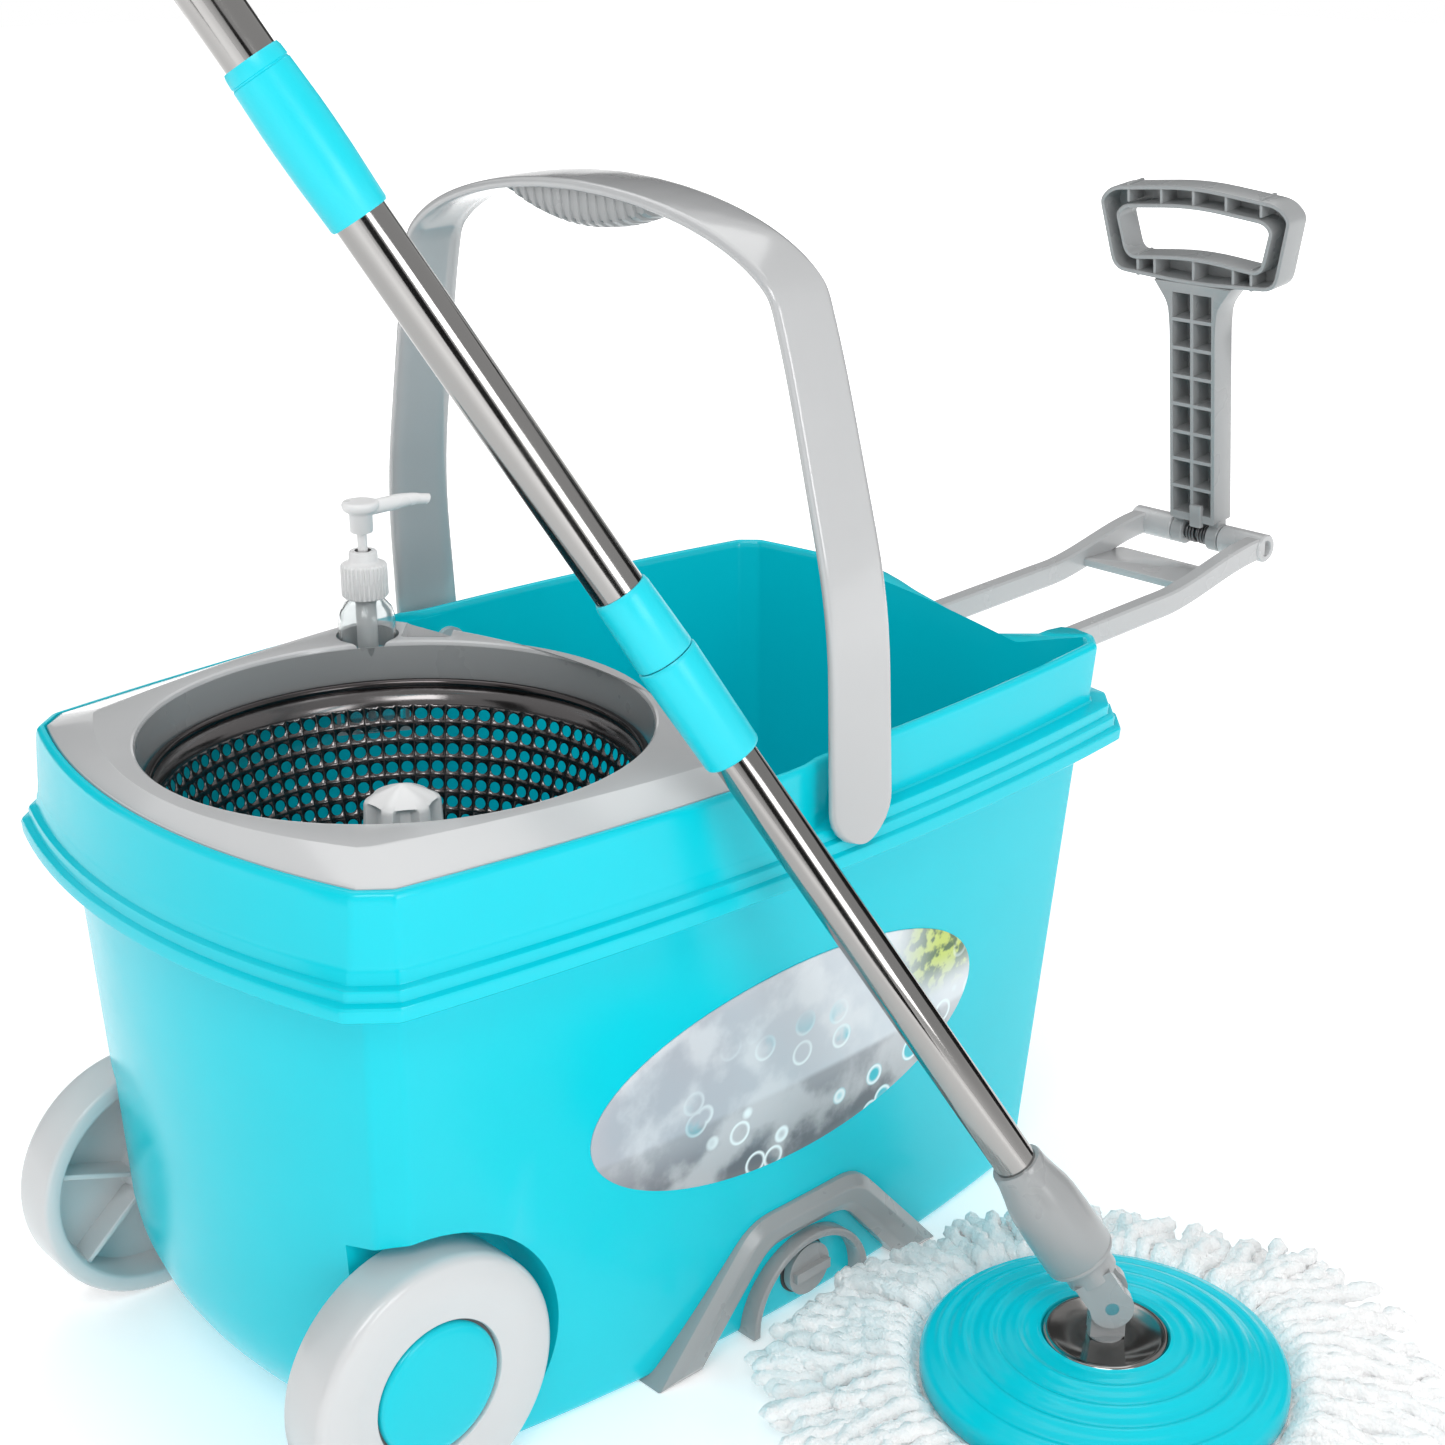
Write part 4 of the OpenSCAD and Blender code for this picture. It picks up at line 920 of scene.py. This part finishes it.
def upright_handle():
    """Upright handle with a hollow, ribbed front: a stem of two columns of pockets and a D-shaped loop."""
    place = frame_of((HINGE_X, 0, HINGE_Z), (-HANDLE_LEAN, "Y"))
    low = HANDLE_LEN - 55

    def facing(points, x0, x1, bevel):
        points, faces = extruded(points, x0, x1, bevel)
        return points[:, [2, 0, 1]], faces

    def loop(points, radius):
        return rounded([(y, low + z) for y, z in points], radius, 5)

    outer = loop([(-56, 3), (0, 0), (56, 3), (65, 44), (57, 52), (0, 57.5), (-57, 52), (-65, 44)],
                 [9, 20, 9, 4, 7, 20, 7, 4])
    inner = loop([(-45, 13), (0, 17.5), (45, 13), (51, 36), (47, 40), (0, 44.5), (-47, 40), (-51, 36)],
                 [6, 20, 6, 2, 4, 20, 4, 2])
    outside = [(0.9, -8.5), (0.25, -8.25), (0, -7.6), (0, 7.6), (0.9, 8.5)]
    channel = [(1.9, -8.5), (2.4, -8.1), (2.6, 6.3)]
    walls = [(outer, d, x) for d, x in outside]
    walls += [(inner, -d, x) for d, x in reversed(outside)]
    walls += [(inner, -d, x) for d, x in channel]
    walls += [(outer, d, x) for d, x in reversed(channel)]
    walls.append(walls[0])
    rings = [np.column_stack([np.full(len(shape), x), inset(shape, d)]) for shape, d, x in walls]
    grip_loop = mesh_object("handle_loop", *moved(loft(rings), place), MID_GREY, "pull_handle", 40)
    stem = [(-16, 10), (16, 10), (16, low - 26), (17.2, low - 12), (27, low + 1), (-27, low + 1),
            (-17.2, low - 12), (-16, low - 26)]
    solid_stem = facing(rounded(stem, [2, 2, 5, 5, 1, 1, 5, 5], 4), -8.5, 8.5, 0.7)
    handle = mesh_object("handle_frame", *moved(solid_stem, place), MID_GREY, "pull_handle", 40)
    pockets = [box((-12, side * 7.3 - 6.2, 15 + 16.9 * k), (6.3, side * 7.3 + 6.2, 29.8 + 16.9 * k))
               for side in (-1, 1) for k in range(8)]
    cut(handle, [plain_solid(*moved(joined(*pockets), place))])
    tidy_mesh(handle, 40)
    with_bevel(handle, 0.6, 2, 40)
    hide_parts("t_handle")
    ribs = [box((-7.4, y - 0.9, low + 43.5), (7, y + 0.9, low + 54.5)) for y in (-45, -22, 0, 22, 45)]
    ribs += [box((-7.4, y - 0.9, low + 1.4), (7, y + 0.9, low + 14.5)) for y in (-39, -27, 0, 27, 39)]
    knuckle = turned([(4.4, 0), (7.6, 0), (8.3, 0.7), (8.3, 7.3), (7.6, 8), (4.4, 8)], 40, closed=True)
    for y in (-16.6, 8.6):
        ribs.append(moved(knuckle, frame_of((0, y, 0), (-90, "X"))))
        ribs.append(box((-4, y + 0.8, 4.2), (4, y + 7.4, 14)))
    details = mesh_object("handle_ribs", *moved(joined(*ribs), place), MID_GREY, "pull_handle", 40)
    with_bevel(details, 0.35, 2, 50)
    tab = rounded([(-9.8, -7), (-6.5, -7.4), (-6.5, 1.4), (-9.8, 1)], 1)
    latch = mesh_object("handle_latch", *moved(extruded(tab, 7, 21, 0.8), place), MID_GREY, "pull_handle")


def coil(radius, wire, turns, pitch, legs):
    """A helical spring along Z from its foot at z = 0, with a straight leg at each end."""
    angles = np.linspace(0, 2 * math.pi * turns, 24 * turns + 1)
    path = around_z(radius, angles, pitch * angles / 2 / math.pi)
    path = np.concatenate([[path[0] - [0, legs, 0]], path, [path[-1] + [0, legs, 0]]])
    return swept(path, [(wire * math.cos(a), wire * math.sin(a)) for a in circle_angles(8)])


def springs():
    parts = [moved(coil(5.3, 0.85, 3, 2.1, legs=8), frame_of((HINGE_X, start, HINGE_Z), (-90, "X")))
             for start in (-7.2, 0.9)]
    pair = mesh_object("handle_spring_pair", *joined(*parts), SPRING, "pull_handle", 60)
    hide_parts("handle_springs")


# ---------------------------------------------------------------- soap bottle and pump


def bottle():
    place = frame_of((*BOTTLE, 0))
    glass = lathe_piece("bottle_body", [
        (0, 249), (12, 249), (13.2, 249.5), (13.7, 251), (13.7, 302), (13.4, 305), (12.4, 308.4), (10, 311.4),
        (8.4, 313), (8, 314), (8, 318), (7, 318), (7, 313.4), (9, 310.6), (11.4, 307.6), (12.4, 304.6),
        (12.6, 302), (12.6, 251.4), (12, 250.3), (0, 250.2)], place, CLEAR, "soap_bottle", 64)
    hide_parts("soap_bottle")
    count = 30
    angles = circle_angles(count * 6)
    ripple = 0.5 * np.clip(2 * np.cos(angles * count), -1, 1)
    levels = [(314.2, 10, 0), (314.6, 10.5, 0), (315.4, 10.7, 1), (329.6, 10.7, 1), (330.4, 10.4, 0.6),
              (331, 9.6, 0), (331.2, 8.2, 0), (332, 7.4, 0), (332.6, 7, 0), (336.2, 6.8, 0), (336.9, 6.2, 0),
              (337, 4, 0)]
    rings = [around_z(r + ripple * k, angles, z) for z, r, k in levels]
    closure = mesh_object("bottle_screw_cap", *moved(loft(rings), place), WHITE, "soap_bottle", 50)
    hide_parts("bottle_closure")


def pump():
    place = frame_of((*BOTTLE, 0), (-8, "Z"))
    head = turned([(2.5, 346), (5.1, 346), (5.5, 346.5), (5.6, 354.6), (6.4, 355.8), (8, 356.6), (8.7, 357.6),
                   (9, 359.4), (8.8, 360.3), (8.2, 360.9), (6.6, 361.1), (0, 361)], 56)
    path = rounded([(4, 0, 357), (26, 0, 358.2), (35.6, 0, 356.8)], [0, 7, 0], 8, closed=False)
    rings = []
    for k, p in enumerate(path):
        share = k / (len(path) - 1)
        r = 3.7 - 1.1 * share
        tilt = -0.05 - 0.35 * share
        rings.append([(p[0] + r * math.sin(a) * math.sin(-tilt), r * math.cos(a) * 1.1,
                       p[2] + r * math.sin(a) * math.cos(tilt)) for a in circle_angles(20)])
    mouth = np.array(rings[-1])
    centre = mouth.mean(0)
    rings += [centre + (mouth - centre) * 0.72, centre + (mouth - centre) * 0.7 - [2.5, 0, -0.4]]
    press = mesh_object("pump_press", *moved(joined(head, solid(rings)), place), WHITE, "pump", 45)
    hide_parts("pump_head")


# ---------------------------------------------------------------- mop plate, yoke and pole


def plate():
    place = frame_of((*MOP, 0))

    def rise(r):
        turn = 2 * math.pi * (r - 36) / 11.5
        strength = min(1, max(0, (r - 33) / 5)) * min(1, max(0, (74 - r) / 4))
        ripple = 0.95 * math.sin(turn) + 0.4 * math.sin(2 * turn)
        return PLATE_TOP - 12.4 * (r / PLATE_R) ** 2.6 + strength * ripple

    top = [(r, rise(r)) for r in np.arange(29, 77.1, 0.75)]
    profile = [(9, 37), (9, 43.6), (27.6, 43.6), (27.6, 45.5), (28, 46.2)] + top
    profile += [(78.6, 33.4), (79.5, 32), (80, 30), (80, 24.8), (79.4, 24), (77.4, 24), (76.6, 24.8),
                (76, 28.4), (66, 32), (30, 36.5)]
    disc = lathe_piece("plate_dish", profile, place, TURQUOISE, "mop_head", 120, closed=True, angle=60)
    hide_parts("mop_plate")
    shine = lathe_piece("plate_chromed_disc", [
        (8, 43.8), (27.3, 43.8), (27.3, 45.2), (26.6, 45.9), (25, 46.1), (23.6, 45.6), (12, 45.2), (8, 45.2)],
        place, CHROME, "mop_head", 96, closed=True, angle=50)
    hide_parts("plate_disc")


ON_POLE = frame_of((*MOP, PIN_Z), (POLE_HEADING, "Z"), (POLE_LEAN, "Y"))


def on_pole(name, profile, material, body, node):
    """A turned piece on the leaning pole, which stands for one CAD node."""
    piece = lathe_piece(name, profile, ON_POLE, material, body, closed=True, angle=40)
    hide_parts(node)


def pole():
    tubes = [
        ("pole_low_tube", "lower_pole", "lower_tube", [
            (9.2, 26), (9.2, 373.6), (8.9, 374), (8.4, 374), (8.4, 26)]),
        ("pole_up_tube", "upper_pole", "upper_tube", [(10.4, 350), (10.4, 586), (9.6, 586), (9.6, 350)]),
        ("pole_top_tube", "upper_pole", "top_tube", [(10.4, 601), (10.4, 884), (9.6, 884), (9.6, 601)]),
    ]
    for name, body, node, profile in tubes:
        on_pole(name, profile, CHROME, body, node)
    sleeves = [
        ("twist_collar", "lock", "lock_collar", [
            (9.7, 299.6), (10.3, 299), (11.2, 299), (11.8, 299.5), (12.1, 300.5), (12.8, 345), (12.7, 346.4),
            (12.2, 347), (10.9, 347), (10.9, 338.8), (9.7, 338.8)]),
        ("twist_sleeve", "upper_pole", "lock_sleeve", [
            (10.4, 347.6), (11.9, 347.4), (12.3, 348.2), (11.6, 376.6), (11.3, 378), (10.9, 379),
            (10.4, 379)]),
        ("screw_sleeve", "upper_pole", "joint_sleeve", [
            (10.5, 546.4), (11.3, 546), (11.9, 547), (12.6, 568), (12.7, 579), (12.6, 588), (12, 604.4),
            (11.6, 604.8), (11.6, 605.3), (11.95, 605.6), (11.7, 609.4), (11.2, 611), (10.5, 610.6)]),
        ("hand_grip", "upper_pole", "grip", [
            (10.5, 818.4), (11.2, 818), (11.7, 818.8), (12.1, 822), (12.7, 856), (12.4, 880), (12, 891),
            (11.6, 893), (10.8, 894), (8, 894), (8, 889), (10.5, 888)]),
    ]
    for name, body, node, profile in sleeves:
        on_pole(name, profile, TURQUOISE_GRIP, body, node)
    nut = [(9.25, 24.6), (11.6, 24.2), (14.8, 24), (15.5, 24.4), (15.7, 25.2), (15.4, 26.2), (15.9, 27.2),
           (15.7, 44), (15.3, 56), (14.6, 61), (13.2, 67), (12, 73), (11.7, 76), (11.5, 78.2), (11, 79),
           (9.25, 79)]
    on_pole("collar_sleeve", nut, MID_GREY, "lower_pole", "collar_nut")


# ---------------------------------------------------------------- microfibre pad


def strand(rng, angle, length, drop, lift, thick):
    """One twisted chenille strand, from under the plate's edge outward and down to the floor."""
    steps, sides = 36, 8
    sway, wave, turn = rng.uniform(-0.13, 0.13), rng.uniform(0, 2 * math.pi), rng.uniform(1.0, 1.35)
    t = np.linspace(0, 1, steps)
    r = 64 + (length - 64) * t
    a = angle + sway * t**1.5 + 0.02 * np.sin(wave + 9 * t) * t
    puff = np.clip((r - 78) / 14, 0, 1)
    fall = np.clip((r - 92) / max(8, length - 92), 0, 1)
    z = 15 + lift * smooth(puff) - drop * fall**1.4 + 1.3 * np.sin(wave + 8 * t) * puff
    path = around_z(r, a, np.maximum(z, thick * 0.85))
    ahead = np.gradient(path, axis=0)
    ahead /= np.linalg.norm(ahead, axis=1)[:, None]
    side = np.cross(ahead, [0, 0, 1.0])
    side /= np.linalg.norm(side, axis=1)[:, None]
    up = np.cross(side, ahead)
    around = circle_angles(sides)
    tip = np.sqrt(np.clip(1 - np.clip((t - 0.94) / 0.06, 0, 1) ** 2, 0.03, 1))
    rings = []
    for k in range(steps):
        noise = np.array([rng.uniform(-1, 1) for _ in range(sides)])
        radius = thick * tip[k] * (1 + 0.2 * np.cos(2 * around + wave + turn * k) + 0.1 * noise)
        across_part, up_part = radius * np.cos(around), radius * np.sin(around)
        points = path[k] + side[k] * across_part[:, None] + up[k] * up_part[:, None]
        points[:, 2] = np.maximum(points[:, 2], 0.3)
        rings.append(points)
    return solid(rings)


def pad():
    rng = random.Random(11)
    layers = [(104, 148, 164, 13, 2, 4.4), (100, 140, 161, 15, 6, 4.3), (92, 128, 156, 15, 10, 4.1),
              (84, 112, 146, 13, 14, 3.9)]
    parts = []
    for count, short, far, drop, lift, thick in layers:
        offset = rng.uniform(0, 1)
        for k in range(count):
            angle = 2 * math.pi * (k + offset + rng.uniform(-0.3, 0.3)) / count
            length = rng.uniform(short, far) - 4
            room = (PAD_EDGE_Y - MOP[1] - 6) / max(0.01, math.sin(angle))
            if math.sin(angle) > 0 and room < length:
                drop, length = drop * 0.8, room - rng.uniform(0, 6)
            parts.append(strand(rng, angle, length, drop, lift, thick * rng.uniform(0.88, 1.1)))
    pile = moved(joined(*parts), frame_of((*MOP, 0)))
    tufts = mesh_object("pad_strands", *pile, chenille(), "mop_head", 80)
    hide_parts("mop_pad")


def chenille():
    """White microfibre pile: matt, slightly translucent at grazing angles, with a deep soft nap. It glows
    faintly
    white: painted light that lifts the shade between the strands.
    """
    material = surface("microfibre", linear(244, 244, 244), 0.85, drift=0.03, grain=0.9, grain_size=1.6,
                       wear=0.2, painted_glow=0.05)
    set_inputs(material.node_tree.nodes["Principled BSDF"], {
        "Sheen Weight": 0.5, "Sheen Roughness": 0.5, "Subsurface Weight": 0.15,
        "Subsurface Radius": (0.004, 0.004, 0.004)})
    for node in material.node_tree.nodes:
        if node.type == "BUMP":
            node.inputs["Distance"].default_value = 0.0012
    return material


# ---------------------------------------------------------------- CAD nodes that show as they are

NODE_LOOKS = [
    (TURQUOISE, 0.5, ["spindle_post", "fork_brackets", "grip_cap"]),
    (STEEL, 0.15, ["spindle_pin", "stub_axles", "axle_clips", "hub_rivets", "fork_pins", "hinge_pin",
                   "yoke_pin", "spiral_rod", "pump_spring"]),
    (TAN, 0.2, ["hub_bushing"]),
    (WHITE, 0.2, ["thrust_washer", "pad_ring", "clutch_housing", "drive_nut", "rod_anchor", "thread_stud",
                  "pump_cylinder", "dip_tube", "pump_stem"]),
    (LIGHT_GREY, 0.4, ["bail_pins", "bottle_cradle"]),
    (MID_GREY, 0.7, ["drain_cap", "plate_lug", "pole_yoke"]),
    (RUBBER, 0.4, ["drain_seal"]),
]


def dress_nodes():
    """Materials and rounded edges for the CAD nodes that no piece replaces."""
    for material, width, names in NODE_LOOKS:
        for name in names:
            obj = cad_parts[name]
            obj.data.materials.clear()
            obj.data.materials.append(material)
            shade(obj)
            with_bevel(obj, width, 2, 40)


# ---------------------------------------------------------------- studio


def floor():
    """A white floor that glows more the farther it is from the bucket."""
    data = bpy.data.meshes.new("floor")
    data.from_pydata([(-6, -6, 0), (9, -6, 0), (9, 9, 0), (-6, 9, 0)], [], [(0, 1, 2, 3)])
    cover = surface("floor", linear(251, 251, 251), 0.7, drift=0.002, wear=0)
    tree = cover.node_tree
    shine = tree.nodes["Principled BSDF"]
    shine.inputs["Emission Color"].default_value = (1, 1, 1, 1)
    reach = tree.nodes.new("ShaderNodeVectorMath")
    reach.operation = "LENGTH"
    tree.links.new(tree.nodes.new("ShaderNodeTexCoord").outputs["Object"], reach.inputs[0])
    brighter = carried(tree, reach.outputs["Value"], 0.9, 1.8, 0.3, 1.0)
    tree.links.new(brighter, shine.inputs["Emission Strength"])
    data.materials.append(cover)
    plane = bpy.data.objects.new("floor", data)
    plane.location.z = -0.0003
    bpy.context.scene.collection.objects.link(plane)


def aim(obj, place, target):
    obj.location = place
    obj.rotation_euler = (Vector(target) - Vector(place)).to_track_quat("-Z", "Y").to_euler()
    bpy.context.scene.collection.objects.link(obj)


def lamp(name, place, target, size, power):
    light = bpy.data.lights.new(name, "AREA")
    light.shape = "RECTANGLE"
    light.size, light.size_y = size
    light.energy = power
    obj = bpy.data.objects.new(name, light)
    aim(obj, place, target)
    obj.visible_camera = False


def card(name, place, target, size, shade_value):
    """A matt card that only reflections see."""
    data = bpy.data.meshes.new(name)
    w, h = size[0] / 2, size[1] / 2
    data.from_pydata([(-w, -h, 0), (w, -h, 0), (w, h, 0), (-w, h, 0)], [], [(0, 1, 2, 3)])
    data.materials.append(surface(name, linear(*([shade_value] * 3)), 0.9))
    obj = bpy.data.objects.new(name, data)
    aim(obj, place, target)
    obj.visible_camera = False
    obj.visible_diffuse = False
    obj.visible_shadow = False


def studio():
    scene = bpy.context.scene
    scene.world = sky()
    scene.view_settings.view_transform = "Standard"
    floor()
    lamp("key", (-1.3, -1.2, 2.0), (-0.1, 0, 0.15), (1.0, 1.0), 16)
    lamp("front", (-0.15, -1.5, 0.75), (-0.12, 0, 0.2), (0.5, 0.7), 5)
    lamp("top", (0.6, 0.8, 2.8), (0.2, 0.2, 0.1), (2.4, 2.4), 24)
    card("card_behind_camera", (-0.95, -1.75, 0.35), (0, -0.2, 0.35), (0.62, 1.5), 20)
    card("card_left", (-1.5, 0.15, 0.6), (0, -0.1, 0.35), (0.45, 1.6), 24)
    card("card_far_left", (-0.5, 1.9, 0.5), (0, -0.1, 0.4), (1.5, 1.6), 14)
    card("card_far_right", (2.3, -0.5, 0.5), (0, -0.1, 0.4), (1.5, 1.6), 14)
    card("card_far_high", (1.7, 1.9, 1.5), (0, 0, 0.3), (3.0, 1.2), 60)
    camera = bpy.data.cameras.new("camera")
    camera.lens = 56.6
    camera.sensor_width = 36
    eye = bpy.data.objects.new("camera", camera)
    eye.location = (-0.6398, -0.7654, 0.638)
    eye.rotation_euler = Vector((0.6412, 0.6828, -0.3501)).to_track_quat("-Z", "Y").to_euler()
    scene.collection.objects.link(eye)
    scene.camera = eye


def sky():
    """White below the horizon, and a dimmer tent of light above it."""
    world = bpy.data.worlds.new("studio")
    world.use_nodes = True
    tree = world.node_tree
    place = tree.nodes.new("ShaderNodeTexCoord")
    split = tree.nodes.new("ShaderNodeSeparateXYZ")
    tree.links.new(place.outputs["Generated"], split.inputs[0])
    fade = carried(tree, split.outputs["Z"], -0.02, 0.25, 1.0, 0.55)
    tree.links.new(fade, tree.nodes["Background"].inputs["Strength"])
    tree.nodes["Background"].inputs["Color"].default_value = (1, 1, 1, 1)
    return world


bucket()
deck()
basket()
hub()
wheel("near_wheel_ring", "wheel_near", "cap_near", "near_wheel", -1)
wheel("far_wheel_ring", "wheel_far", "cap_far", "far_wheel", 1)
side_trims()
drain_cover()
label()
bail()
fork()
upright_handle()
springs()
bottle()
pump()
plate()
pole()
pad()
dress_nodes()
studio()
